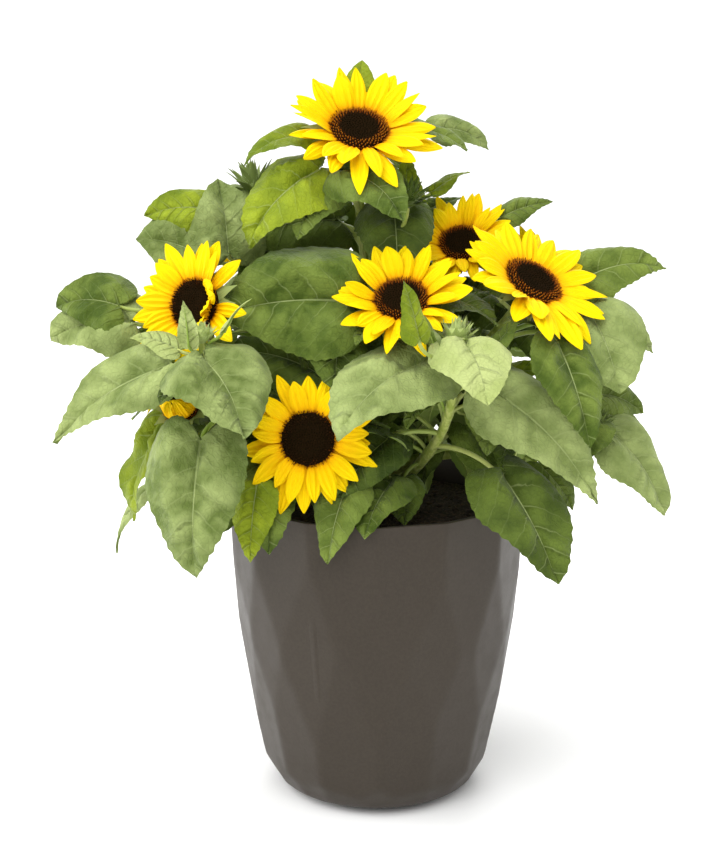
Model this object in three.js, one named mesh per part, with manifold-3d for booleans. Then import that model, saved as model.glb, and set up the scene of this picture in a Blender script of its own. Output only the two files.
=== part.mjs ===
// A branching dwarf sunflower in a faceted planter, in millimetres, +Z up. The origin is the centre of the
// planter's flat underside and the plant is seen from the front along +Y. One clump grows from one root: a
// main stem with side stems that leave it low down, each ending in a leafy shoot that carries a bloom or a bud.
import * as THREE from "three";
import { mergeVertices } from "three/addons/utils/BufferGeometryUtils.js";
import Module from "manifold-3d";

const wasm = await Module();
wasm.setup();

// Planter: a round tapering body cut by tall flat facets in staggered rows.
const POT_HEIGHT = 257;
const RIM_RADIUS = 120;
const WAIST_RADIUS = 113.8;
const SHOULDER_RADIUS = 94.5;
const SHOULDER_HEIGHT = 40;
const UNDERSIDE_RADIUS = 56;
const POT_WALL = 3.4;
const POT_FLOOR = 6;
const FACETS = 14;
const FACET_ROWS = [212, 138, 74];
const FOOT_FACETS = 20;
const FOOT_ROWS = [58, 22];
const FACET_WANDER = 4;
const FACET_DEPTH = 1.2;
const CAVITY_SIDES = 24;

// Potting soil, and the gap that keeps neighbouring solids apart.
const SOIL_TOP = 238;
const CLEAR = 0.3;
const CAVITY_HEIGHTS = [14, 40, 110, SOIL_TOP];

// Main stem.
const TRUNK_LINE = [[8, -4, SOIL_TOP + CLEAR], [8, -4, 290], [-2, 1, 350], [-6, 2, 410]];
const TRUNK_RADIUS = 8.5;
const TRUNK_TIP_RADIUS = 6;
const ROOT_FLARE = 7;
const ROOT_FLARE_HEIGHT = 26;

// Side stems and shoots.
const BOUGH_RADIUS = 5.6;
const SHOOT_RADIUS = 4.4;
const NECK_RADIUS = 3;
const TWIG_RADIUS = 1.8;
const BOUGH_SHARE = 0.2;
const PEDUNCLE_SHARE = 0.88;
const STEM_SIDES = 6;
const TRUNK_SIDES = 10;

// Leaf: heart-shaped blade on a curved stalk. An outline is half of a blade, as shares of its length and width.
// A blade that is narrow for its length tapers to a point, and a broad one stays full almost to its blunt tip.
const NARROW_OUTLINE = [[0, 0], [-0.04, 0.1], [-0.06, 0.24], [0, 0.38], [0.14, 0.47], [0.32, 0.46],
  [0.5, 0.375], [0.67, 0.25], [0.83, 0.12], [1, 0]];
const BROAD_OUTLINE = [[0, 0], [-0.07, 0.1], [-0.11, 0.26], [-0.02, 0.42], [0.14, 0.495], [0.34, 0.495],
  [0.54, 0.43], [0.73, 0.315], [0.89, 0.165], [1, 0]];
const NARROW_SHARE = 0.52;
const BROAD_SHARE = 0.82;
// Rows of points across a blade for each length of blade, as shares of the way round its outline.
const LEAF_ROWS = [[75, [0.2, 0.42, 0.62, 0.82]], [40, [0.22, 0.5, 0.78]], [0, [0.3, 0.66]]];
const LEAF_THICKNESS = 2.2;
const LEAF_FOLD = 0.22;
const LEAF_SAG = 0.34;
const STALK_RADIUS = 1.7;
const STALK_ARCH = 22;
const LONG_STALK = 60;
const BEND = 45;

// Bloom: a ring of petals round a seed disc, on a cupped green base.
const PETALS = 15;
const PETAL_NOTCH = 0.64;
const PETAL_THICKNESS = 1;
const PETAL_DROOP = 0.22;
const BRACTS = 7;

// Shoots. from is the height on the main stem where the side stem leaves it, leave is its turn and rise there,
// tip is the back of its bloom or bud, face is the turn and rise that the bloom looks along, and neck is how long
// the stem takes to swing into that. Turns are degrees about +Z from +X and rises are degrees above the level.
// A leaf is: place on the shoot, stalk turn, rise and length, blade turn, rise, length and width, roll, bend.
const SHOOTS = [
  {
    name: "crown", from: 410, leave: [166, 86], tip: [-15, -20, 545], face: [-80, 52], neck: 40,
    bloom: { reach: 64, disc: 23, cup: 18, tilt: 9 },
    twigs: [[0.2, -50, 46, 72, 6], [0.62, -108, 12, 42, 3.2]],
    leaves: [
      [0.72, -155, 40, 44, -155, -15, 70, 42, -25, 55],
      [0.55, -136, 30, 50, -145, -40, 88, 66, -35, 50],
      [0.45, -125, 38, 50, -127, -43, 62, 44, -20, 50],
      [0.62, -103, 16, 54, -40, -27, 74, 54, 30, 60],
      [0.7, 10, 27, 72, 8, -20, 50, 34, 45, 70],
      [0.5, 18, 10, 62, 22, 27, 38, 22, 20, 20],
      [0.84, 88, 66, 50, 62, 74, 29, 27, 0, 10],
      [0.25, 170, 45, 36, -165, -13, 80, 66, -60, 40],
    ],
    fill: 4,
  },
  {
    name: "front", from: 250, leave: [-38, 42], tip: [58, -115, 392], face: [-90, 82], neck: 60,
    bud: 7,
    leaves: [
      [0.93, -68, 45, 26, -76, -35, 64, 60, 0, 60],
      [0.98, -165, 30, 18, -150, 49, 38, 30, 0, 30],
      [0.78, -156, 44, 36, -138, -26, 100, 84, -25, 45],
      [0.87, -127, 39, 62, 132, 68, 43, 28, 0, 20],
      [0.83, 20, 38, 40, 5, 48, 36, 24, 20, 20],
      [0.52, -36, 45, 56, -18, -45, 124, 70, 45, 40],
      [0.4, -46, -10, 74, -51, -52, 92, 74, 12, 40],
      [0.66, 20, 5, 30, -80, -62, 40, 32, 0, 30],
      [0.5, -162, -2, 44, -140, -40, 62, 54, -20, 40],
      [0.25, -112, -10, 36, -88, -43, 42, 34, 0, 40],
      [0.22, 4, 35, 54, -47, -51, 58, 48, 0, 40],
    ],
    fill: 2,
  },
  {
    name: "centre", from: 326, leave: [-70, 52], tip: [18, -84, 422], face: [-95, 52], neck: 45,
    bloom: { reach: 56, disc: 21, cup: 18, tilt: 0 },
    leaves: [
      [0.45, -135, 42, 78, -175, -8, 96, 96, -62, 30],
      [0.3, -126, 38, 84, -110, -56, 64, 64, -10, 40],
      [0.26, -140, 6, 66, 178, 16, 84, 60, -50, 40],
    ],
    fill: 4,
  },
  {
    name: "right", from: 296, leave: [-25, 45], tip: [117, -62, 432], face: [-49, 53], neck: 60,
    bloom: { reach: 66, disc: 23, cup: 9, tilt: 0 },
    twigs: [[0.6, -118, 51, 46, 5]],
    leaves: [
      [0.8, 8, 22, 56, 8, 14, 84, 50, 50, 50],
      [0.68, -22, 15, 84, -66, -52, 72, 80, 10, 45],
      [0.6, -13, 18, 86, 10, -26, 70, 44, 50, 50],
      [0.45, -37, 21, 96, -63, -60, 86, 56, 0, 40],
      [0.35, -42, 13, 58, -22, 14, 44, 26, 45, 30],
    ],
    fill: 2,
  },
  {
    name: "right_low", from: 268, leave: [-4, 34], tip: [164, -70, 317], face: [-30, 50], neck: 50,
    bud: 6,
    leaves: [
      [0.82, -3, 17, 42, -19, -57, 76, 60, 30, 45],
      [0.9, -50, 51, 26, -110, -43, 40, 40, 0, 40],
      [0.7, 19, 20, 68, 21, -35, 42, 34, 40, 40],
      [0.5, -41, -5, 42, -33, -48, 44, 36, 15, 30],
      [0.76, 24, 51, 56, 18, -23, 52, 42, 40, 50],
    ],
    fill: 2,
  },
  {
    name: "back_right", from: 350, leave: [20, 60], tip: [69, 11, 453], face: [-97, 50], neck: 45,
    bloom: { reach: 48, disc: 19, cup: 20, tilt: 0 },
    leaves: [
      [0.5, -133, 59, 62, 82, 80, 76, 42, 0, 20],
      [0.68, -144, 70, 63, 20, 13, 36, 24, 30, 20],
      [0.75, -11, 51, 60, 16, 16, 46, 28, 40, 30],
    ],
    fill: 3,
  },
  {
    name: "left", from: 300, leave: [-160, 50], tip: [-137, -79, 420], face: [-118, 16], neck: 65,
    bloom: { reach: 54, disc: 20, cup: 16, tilt: -16 },
    leaves: [
      [0.76, -170, 9, 92, 172, -4, 52, 52, -50, 50],
      [0.66, -165, 6, 98, -168, -12, 66, 58, -50, 50],
      [0.56, -165, 3, 88, -160, -38, 58, 48, -40, 50],
    ],
    fill: 2,
  },
  {
    name: "left_low", from: 278, leave: [-145, 36], tip: [-130, -124, 396], face: [-100, 82], neck: 70,
    bud: 5,
    leaves: [
      [0.99, -30, 40, 24, -12, 50, 34, 16, 0, 30],
      [0.9, -90, 30, 22, -55, -40, 76, 82, 15, 55],
      [0.78, -161, 32, 42, 172, -34, 114, 64, -50, 40],
      [0.6, -123, -10, 62, -100, -67, 104, 80, 0, 35],
      [0.965, -136, 35, 16, -110, 74, 38, 18, 0, 10],
      [0.94, 175, 25, 22, 176, 17, 38, 24, -40, 30],
    ],
    fill: 2,
  },
  {
    name: "front_left", from: 262, leave: [-108, 22], tip: [-53, -101, 321], face: [-90, 13], neck: 50,
    bloom: { reach: 54, disc: 21, cup: 5, tilt: 0 },
    leaves: [
      [0.3, -60, 0, 44, -115, -31, 60, 48, 0, 40],
      [0.42, -91, -5, 66, -112, -46, 66, 46, 0, 50],
      [0.6, -138, 4, 78, -75, -48, 92, 64, 0, 40],
      [0.5, -134, -5, 92, -113, -62, 58, 38, 0, 30],
    ],
    fill: 3,
  },
  {
    name: "crown_left", from: 385, leave: [165, 50], tip: [-97, 30, 490], face: [150, 72], neck: 45,
    bud: 8,
    leaves: [
      [0.55, -159, 30, 88, 165, -9, 50, 40, -50, 40],
      [0.78, -121, -9, 64, 108, 60, 60, 62, 0, 30],
      [0.42, -158, 12, 97, -168, 13, 54, 68, -50, 40],
      [0.3, -151, -3, 62, 142, 63, 46, 44, 0, 30],
    ],
    fill: 4,
  },
  {
    name: "left_under", from: 253, leave: [-178, 25], tip: [-150, -72, 340], face: [-115, 35], neck: 50,
    bloom: { reach: 38, disc: 15, cup: 30, tilt: 0 },
    leaves: [
      [0.75, -162, 13, 40, -157, -64, 88, 62, 0, 30],
      [0.6, 175, -30, 92, -154, -57, 58, 32, 0, 30],
      [0.35, -123, -8, 88, -134, -49, 54, 44, 0, 40],
    ],
    fill: 3,
  },
  {
    name: "back_left", from: 322, leave: [140, 52], tip: [-92, 100, 452], face: [118, 42], neck: 55,
    bloom: { reach: 56, disc: 21, cup: 14, tilt: 4 },
    leaves: [],
    fill: 9,
  },
  {
    name: "back", from: 284, leave: [85, 42], tip: [28, 150, 395], face: [85, 28], neck: 60,
    bloom: { reach: 58, disc: 22, cup: 12, tilt: 0 },
    leaves: [],
    fill: 9,
  },
  {
    name: "right_back", from: 252, leave: [50, 42], tip: [135, 95, 412], face: [40, 40], neck: 60,
    bloom: { reach: 54, disc: 20, cup: 14, tilt: 0 },
    leaves: [],
    fill: 9,
  },
  {
    name: "left_back", from: 270, leave: [140, 40], tip: [-158, 62, 340], face: [160, 30], neck: 55,
    bloom: { reach: 52, disc: 19, cup: 10, tilt: 0 },
    leaves: [],
    fill: 8,
  },
  {
    name: "inner", from: 308, leave: [55, 62], tip: [32, 62, 402], face: [70, 75], neck: 30,
    bud: 5,
    leaves: [],
    fill: 8,
  },
];

// Filling leaves follow a spiral up the shoot, by a seeded rule.
const GOLDEN_ANGLE = 137.5;
const FILL_SPAN = [0.22, 0.8];
const FILL_FAN = 230;
const FILL_STALK = [58, 32];
const FILL_BLADE = [98, 62];
const FILL_WIDTH_SHARE = 0.74;
const FILL_RISE = [8, 42];
const FILL_FALL = [-42, -16];

// How a leaf that is in the way is moved: carried back or forward, turned up or down, swung left or right.
const SHIFTS = [0, 12, -12, 24, -24, 36, -36];
const TILTS = [0, 9, -9, 18, -18];
const SWINGS = [0, 12, -12];
const CROWN_REACH = 245;
const BLOOM_VIEW = 0.85;
const BLOOM_VIEW_DEPTH = 110;

const UP = new THREE.Vector3(0, 0, 1);
const radians = THREE.MathUtils.degToRad;
const mix = THREE.MathUtils.lerp;

// A repeatable stream of numbers from 0 to 1.
function seeded(seed) {
  let state = seed >>> 0;
  return () => {
    state = (state + 0x6d2b79f5) >>> 0;
    let t = state;
    t = Math.imul(t ^ (t >>> 15), t | 1);
    t ^= t + Math.imul(t ^ (t >>> 7), t | 61);
    return ((t ^ (t >>> 14)) >>> 0) / 4294967296;
  };
}

// The unit vector at a turn about +Z and a rise above the level.
function heading(turn, rise) {
  const t = radians(turn);
  const r = radians(rise);
  return new THREE.Vector3(Math.cos(r) * Math.cos(t), Math.cos(r) * Math.sin(t), Math.sin(r));
}

// Solids

function solidFrom(vertices, triangles) {
  const mesh = new wasm.Mesh({
    numProp: 3,
    vertProperties: new Float32Array(vertices.flatMap((v) => [v.x, v.y, v.z])),
    triVerts: new Uint32Array(triangles.flat()),
  });
  const solid = new wasm.Manifold(mesh);
  return solid.volume() > 0 ? solid : solidFrom(vertices, triangles.map(([a, b, c]) => [a, c, b]));
}

function solidFromGeometry(geometry) {
  const bare = geometry.index ? geometry.toNonIndexed() : geometry;
  bare.deleteAttribute("normal");
  bare.deleteAttribute("uv");
  const merged = mergeVertices(bare, 1e-3);
  return new wasm.Manifold(new wasm.Mesh({
    numProp: 3,
    vertProperties: merged.attributes.position.array,
    triVerts: new Uint32Array(merged.index.array),
  }));
}

function union(solids) {
  return solids.reduce((whole, next) => whole.add(next));
}

function geometryFrom(solid) {
  const mesh = solid.getMesh();
  const geometry = new THREE.BufferGeometry();
  geometry.setAttribute("position", new THREE.BufferAttribute(new Float32Array(mesh.vertProperties), 3));
  geometry.setIndex(new THREE.BufferAttribute(new Uint32Array(mesh.triVerts), 1));
  return geometry;
}

// The largest piece of a solid, without the scraps that a cut can leave.
function largest(solid) {
  return solid.decompose().reduce((best, next) => (next.volume() > best.volume() ? next : best));
}

// A closed skin over rings of equal size, with a flat cap at each end.
function loft(rings) {
  const sides = rings[0].length;
  const triangles = [];
  for (let k = 0; k + 1 < rings.length; k += 1) {
    for (let i = 0; i < sides; i += 1) {
      const a = k * sides + i;
      const b = k * sides + ((i + 1) % sides);
      triangles.push([a, b, b + sides], [a, b + sides, a + sides]);
    }
  }
  const last = (rings.length - 1) * sides;
  for (let i = 1; i + 1 < sides; i += 1) {
    triangles.push([0, i + 1, i], [last, last + i, last + i + 1]);
  }
  return solidFrom(rings.flat(), triangles);
}

// A round limb along part of a curve, with its radius given at each share of the way. Its rings follow the curve
// without a twist.
function limb(curve, start, end, radiusAt, sides, steps) {
  const rings = [];
  const first = curve.getTangent(start);
  const left = (Math.abs(first.z) > 0.9 ? new THREE.Vector3(1, 0, 0) : UP.clone()).cross(first);
  for (let k = 0; k <= steps; k += 1) {
    const share = mix(start, end, k / steps);
    const centre = curve.getPoint(share);
    const along = curve.getTangent(share);
    left.addScaledVector(along, -left.dot(along)).normalize();
    const over = new THREE.Vector3().crossVectors(along, left);
    const ring = [];
    for (let i = 0; i < sides; i += 1) {
      const angle = (2 * Math.PI * i) / sides;
      ring.push(centre.clone()
        .addScaledVector(left, radiusAt(share) * Math.cos(angle))
        .addScaledVector(over, radiusAt(share) * Math.sin(angle)));
    }
    rings.push(ring);
  }
  return loft(rings);
}

// Planter

function potRadius(z) {
  const t = (z - SHOULDER_HEIGHT) / (POT_HEIGHT - SHOULDER_HEIGHT);
  return SHOULDER_RADIUS * (1 - t) * (1 - 2 * t) + WAIST_RADIUS * 4 * t * (1 - t) + RIM_RADIUS * t * (2 * t - 1);
}

// The radius of the whole planter: the side above the shoulder and the rounded foot below it.
function bodyRadius(z) {
  if (z >= SHOULDER_HEIGHT) return potRadius(z);
  const drop = 1 - z / SHOULDER_HEIGHT;
  return UNDERSIDE_RADIUS + (SHOULDER_RADIUS - UNDERSIDE_RADIUS) * Math.sqrt(1 - drop * drop);
}

// Each facet is a plane: the turn it faces, how far it leans down, and a point of it as radius and height.
function facetPlanes() {
  const random = seeded(11);
  const planes = [];
  FACET_ROWS.forEach((z, row) => {
    const slope = Math.atan((potRadius(z + 1) - potRadius(z - 1)) / 2);
    for (let i = 0; i < FACETS; i += 1) {
      const turn = (360 / FACETS) * (i + (row % 2) / 2) + FACET_WANDER * (2 * random() - 1);
      planes.push({ turn, slope, radius: potRadius(z) - FACET_DEPTH * random(), z });
    }
  });
  FOOT_ROWS.forEach((degrees, row) => {
    const a = radians(degrees);
    const width = SHOULDER_RADIUS - UNDERSIDE_RADIUS;
    for (let i = 0; i < FOOT_FACETS; i += 1) {
      planes.push({
        turn: (360 / FOOT_FACETS) * (i + (row % 2) / 2),
        slope: Math.atan2(width * Math.cos(a), SHOULDER_HEIGHT * Math.sin(a)),
        radius: UNDERSIDE_RADIUS + width * Math.sin(a),
        z: SHOULDER_HEIGHT * (1 - Math.cos(a)),
      });
    }
  });
  return planes;
}

// The planter's outer form: a round blank with every facet cut off.
function facetedBody() {
  const blankRadius = 1.15 * RIM_RADIUS;
  const blank = new THREE.CylinderGeometry(blankRadius, blankRadius, POT_HEIGHT, 32);
  blank.rotateX(Math.PI / 2).translate(0, 0, POT_HEIGHT / 2);
  let body = solidFromGeometry(blank);
  const cutterSize = 4 * RIM_RADIUS;
  for (const { turn, slope, radius, z } of facetPlanes()) {
    const cutter = new THREE.BoxGeometry(cutterSize, cutterSize, cutterSize);
    cutter.translate(cutterSize / 2, 0, 0).rotateY(slope).translate(radius, 0, z).rotateZ(radians(turn));
    body = body.subtract(solidFromGeometry(cutter));
  }
  return body;
}

// The smooth round space inside the planter, drawn in by the inset and closed at a height.
function cavity(inset, low, high) {
  const heights = [low, ...CAVITY_HEIGHTS.filter((z) => z > low + 1 && z < high - 1), high];
  return loft(heights.map((z) => Array.from({ length: CAVITY_SIDES }, (_, i) => {
    const angle = (2 * Math.PI * i) / CAVITY_SIDES;
    const radius = bodyRadius(z) - FACET_DEPTH - POT_WALL - inset;
    return new THREE.Vector3(radius * Math.cos(angle), radius * Math.sin(angle), z);
  })));
}

// Plant limbs

function curveThrough(points) {
  return new THREE.CubicBezierCurve3(...points.map((p) => new THREE.Vector3(...p)));
}

const trunkCurve = curveThrough(TRUNK_LINE);

function trunkRadius(share) {
  const height = trunkCurve.getPoint(share).z - SOIL_TOP;
  const flare = ROOT_FLARE * Math.max(0, 1 - height / ROOT_FLARE_HEIGHT) ** 2;
  return mix(TRUNK_RADIUS, TRUNK_TIP_RADIUS, share) + flare;
}

// The share of the way up the main stem that is at a height.
function trunkShareAt(height) {
  let low = 0;
  let high = 1;
  for (let i = 0; i < 40; i += 1) {
    const middle = (low + high) / 2;
    if (trunkCurve.getPoint(middle).z < height) low = middle;
    else high = middle;
  }
  return (low + high) / 2;
}

// The line that a side stem and its shoot follow, from the middle of the main stem to the back of the bloom.
function shootCurve({ from, leave, tip, face, neck }) {
  const start = trunkCurve.getPoint(trunkShareAt(from));
  const end = new THREE.Vector3(...tip);
  const reach = start.distanceTo(end);
  return new THREE.CubicBezierCurve3(
    start,
    start.clone().addScaledVector(heading(...leave), 0.4 * reach),
    end.clone().addScaledVector(heading(...face), -neck),
    end,
  );
}

function shootRadius(share) {
  return share < BOUGH_SHARE
    ? mix(BOUGH_RADIUS, SHOOT_RADIUS, share / BOUGH_SHARE)
    : mix(SHOOT_RADIUS, NECK_RADIUS, (share - BOUGH_SHARE) / (1 - BOUGH_SHARE));
}

// Leaves

// The outline of a blade, between the narrow and the broad one by its width for its length.
function leafOutline({ length, width }) {
  const breadth = THREE.MathUtils.clamp((width / length - NARROW_SHARE) / (BROAD_SHARE - NARROW_SHARE), 0, 1);
  return new THREE.SplineCurve(NARROW_OUTLINE.map((narrow, i) => (
    new THREE.Vector2(...narrow).lerp(new THREE.Vector2(...BROAD_OUTLINE[i]), breadth)
  )));
}

// The middle line of a blade that rises, then bends down along its length, with the turn kept.
function bladeLine(base, turn, rise, length, bend) {
  const steps = 24;
  const points = [base.clone()];
  for (let i = 0; i < steps; i += 1) {
    const pitch = rise + bend / 2 - (bend * (i + 0.5)) / steps;
    points.push(points[i].clone().addScaledVector(heading(turn, pitch), length / steps));
  }
  return (share) => {
    if (share < 0) return points[0].clone().addScaledVector(heading(turn, rise + bend / 2), share * length);
    const place = Math.min(share * steps, steps - 1e-6);
    const whole = Math.floor(place);
    return points[whole].clone().lerp(points[whole + 1], place - whole);
  };
}

// The axes of a blade where it leaves its stalk or further along: forward, to its left and out of its face.
function bladeFrame({ turn, rise, roll, bend }, along) {
  const forward = heading(turn, rise + bend / 2 - bend * Math.max(0, along));
  const level = heading(turn + 90, 0);
  const over = new THREE.Vector3().crossVectors(forward, level);
  return {
    left: level.applyAxisAngle(forward, radians(roll)),
    over: over.applyAxisAngle(forward, radians(roll)),
  };
}

// A blade is a row of thin diamonds from the stalk to the tip: left edge, rib, right edge, underside of the rib.
function bladeRings(leaf, base, extra) {
  const { turn, rise, length, width, bend } = leaf;
  const line = bladeLine(base, turn, rise, length, bend);
  const place = (along, across, lift) => {
    const { left, over } = bladeFrame(leaf, along);
    const reach = across * width;
    const height = LEAF_FOLD * Math.abs(reach) - (2 * LEAF_SAG * reach * reach) / width;
    return line(along).addScaledVector(left, reach).addScaledVector(over, height + lift);
  };
  const half = LEAF_THICKNESS / 2 + extra;
  const ring = (edge, rib) => {
    const across = edge.y + extra / width;
    return [place(edge.x, across, 0), place(rib, 0, half), place(edge.x, -across, 0), place(rib, 0, -half)];
  };
  const [, rows] = LEAF_ROWS.find(([least]) => length >= least);
  const outline = leafOutline(leaf);
  return [
    ring({ x: 0, y: stalkRadius(leaf) / width }, 0),
    ...rows.map((row) => ring(outline.getPoint(row), row ** 1.9)),
    ring({ x: 1, y: 0.5 / width }, 1),
  ];
}

function stalkRadius({ length }) {
  return Math.min(STALK_RADIUS, 0.6 + length / 60);
}

// The stalk arches from the middle of the shoot to the blade.
function stalkRings(leaf, node, base, extra) {
  const lift = heading(leaf.stalkTurn, Math.min(80, leaf.stalkRise + STALK_ARCH));
  const inward = heading(leaf.turn, leaf.rise + leaf.bend / 2);
  const curve = new THREE.CubicBezierCurve3(
    node,
    node.clone().addScaledVector(lift, 0.4 * leaf.stalk),
    base.clone().addScaledVector(inward, -0.3 * leaf.stalk),
    base,
  );
  const steps = leaf.stalk > LONG_STALK ? 3 : 2;
  const { left: last } = bladeFrame(leaf, 0);
  return Array.from({ length: steps }, (_, k) => {
    const share = k / steps;
    const along = curve.getTangent(share);
    const left = heading(leaf.stalkTurn + 90, 0).lerp(last, share);
    left.addScaledVector(along, -left.dot(along)).normalize();
    const over = new THREE.Vector3().crossVectors(along, left);
    const radius = mix(1.3, 1, share) * stalkRadius(leaf) + extra;
    return [[left, 1], [over, 1], [left, -1], [over, -1]]
      .map(([axis, sign]) => curve.getPoint(share).addScaledVector(axis, sign * radius));
  });
}

function leafFrom([at, stalkTurn, stalkRise, stalk, turn, rise, length, width, roll, bend]) {
  return { at, stalkTurn, stalkRise, stalk, turn, rise, length, width, roll, bend };
}

// A filling leaf: its place on the spiral, its size and its droop all follow from its number. The spiral is
// folded into a fan on the side that the shoot leans to.
function fillLeaf(number, { fill, face }, random) {
  const share = fill > 1 ? number / (fill - 1) : 0.5;
  const turn = face[0] + ((number * GOLDEN_ANGLE) % FILL_FAN) - FILL_FAN / 2 + 20 * (random() - 0.5);
  const length = mix(...FILL_BLADE, share) * (0.85 + 0.3 * random());
  return {
    at: mix(...FILL_SPAN, share),
    stalkTurn: turn,
    stalkRise: mix(...FILL_RISE, share) + 12 * (random() - 0.5),
    stalk: mix(...FILL_STALK, share) * (0.85 + 0.3 * random()),
    turn: turn + 30 * (random() - 0.5),
    rise: mix(...FILL_FALL, share) + 16 * (random() - 0.5),
    length,
    width: FILL_WIDTH_SHARE * length,
    roll: 24 * (random() - 0.5),
    bend: BEND,
  };
}

// Blooms and buds

// A frame that looks along a bloom's face: right, up and out.
function faceFrame(face) {
  const out = heading(...face);
  const right = heading(face[0] + 90, 0);
  return { right, up: new THREE.Vector3().crossVectors(out, right), out };
}

// A ring of points round a bloom's axis. Each point has its own radius, height and droop.
function ringAbout(frame, tip, sides, radiusAt, heightAt, droopAt = () => 0) {
  return Array.from({ length: sides }, (_, i) => {
    const angle = (2 * Math.PI * i) / sides;
    return tip.clone()
      .addScaledVector(frame.right, radiusAt(i) * Math.cos(angle))
      .addScaledVector(frame.up, radiusAt(i) * Math.sin(angle))
      .addScaledVector(frame.out, heightAt(i))
      .addScaledVector(UP, -droopAt(i));
  });
}

// The bloom is one skin: a green cup, petals that join in one star with a tip for each, and a domed disc.
function bloomSolid({ tip, face, bloom }, seed) {
  const random = seeded(seed);
  const frame = faceFrame(face);
  const centre = new THREE.Vector3(...tip);
  const { reach, disc, cup, tilt } = bloom;
  const sides = 2 * PETALS;
  const petals = Array.from({ length: PETALS }, () => ({
    reach: reach * (0.93 + 0.1 * random()),
    wander: 10 * (random() - 0.5),
  }));
  const upward = (i) => Math.sin((2 * Math.PI * i) / sides);
  const span = (i) => (i % 2 ? PETAL_NOTCH * reach : petals[i / 2].reach) - disc;
  const lean = (i) => radians(cup + tilt * upward(i) + (i % 2 ? 0 : petals[i / 2].wander));
  const radiusAt = (i) => disc + span(i) * Math.cos(lean(i));
  const heightAt = (i) => 5 + span(i) * Math.sin(lean(i));
  const droopAt = (i) => PETAL_DROOP * Math.max(0, -upward(i)) * (span(i) ** 2 / (reach - disc));
  const star = (lift) => ringAbout(frame, centre, sides, radiusAt, (i) => heightAt(i) + lift, droopAt);
  const round = (radius, height) => ringAbout(frame, centre, sides, () => radius, () => height);
  return loft([
    round(0.35 * disc, -5),
    star(-PETAL_THICKNESS / 2),
    star(PETAL_THICKNESS / 2),
    round(0.95 * disc, 7.5),
    round(0.55 * disc, 12),
  ]);
}

// A bud is a green knob held in a ring of pointed bracts.
function budSolid(tip, face, radius) {
  const frame = faceFrame(face);
  const sides = 2 * BRACTS;
  const round = (share, height) => ringAbout(frame, tip, sides, () => share * radius, () => height * radius);
  const star = (lift) => ringAbout(frame, tip, sides, (i) => (i % 2 ? 1 : 1.5) * radius,
    (i) => (i % 2 ? 0.8 : 2.4) * radius + lift);
  return loft([round(0.35, -0.3), round(1, 0.4), star(0), star(PETAL_THICKNESS), round(0.75, 1.3), round(0.2, 1.6)]);
}

// A thin side twig that carries a small bud of its own.
function twigSolid(curve, [at, turn, rise, length, radius]) {
  const node = curve.getPoint(at);
  const tip = node.clone().addScaledVector(heading(turn, rise), length);
  const twig = new THREE.CubicBezierCurve3(
    node,
    node.clone().addScaledVector(heading(turn, rise - 15), 0.4 * length),
    tip.clone().addScaledVector(UP, -0.35 * length),
    tip,
  );
  return limb(twig, 0, 1, () => TWIG_RADIUS, 4, 3).add(budSolid(tip, [turn, 75], radius));
}

// Growing the plant

function boxesMeet(a, b) {
  return [0, 1, 2].every((i) => a.min[i] <= b.max[i] && b.min[i] <= a.max[i]);
}

function meet(solid, others) {
  const box = solid.boundingBox();
  return others.some((other) => boxesMeet(box, other.boundingBox()) && solid.intersect(other).volume() > 0);
}

// True where a leaf would stand between a bloom and the light that it faces.
function hidesBloom(points) {
  return SHOOTS.some(({ tip, face, bloom }) => {
    if (!bloom) return false;
    const out = heading(...face);
    const centre = new THREE.Vector3(...tip);
    return points.some((point) => {
      const offset = point.clone().sub(centre);
      const depth = offset.dot(out);
      return depth > 0 && depth < BLOOM_VIEW_DEPTH
        && offset.addScaledVector(out, -depth).length() < BLOOM_VIEW * bloom.reach;
    });
  });
}

// Every small move, the smallest first.
function nudges() {
  const all = [];
  for (const tilt of TILTS) {
    for (const shift of SHIFTS) {
      for (const swing of SWINGS) all.push({ shift, tilt, swing });
    }
  }
  const size = ({ shift, tilt, swing }) => Math.abs(shift) / 12 + Math.abs(tilt) / 9 + Math.abs(swing) / 12;
  return all.sort((a, b) => size(a) - size(b));
}

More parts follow.
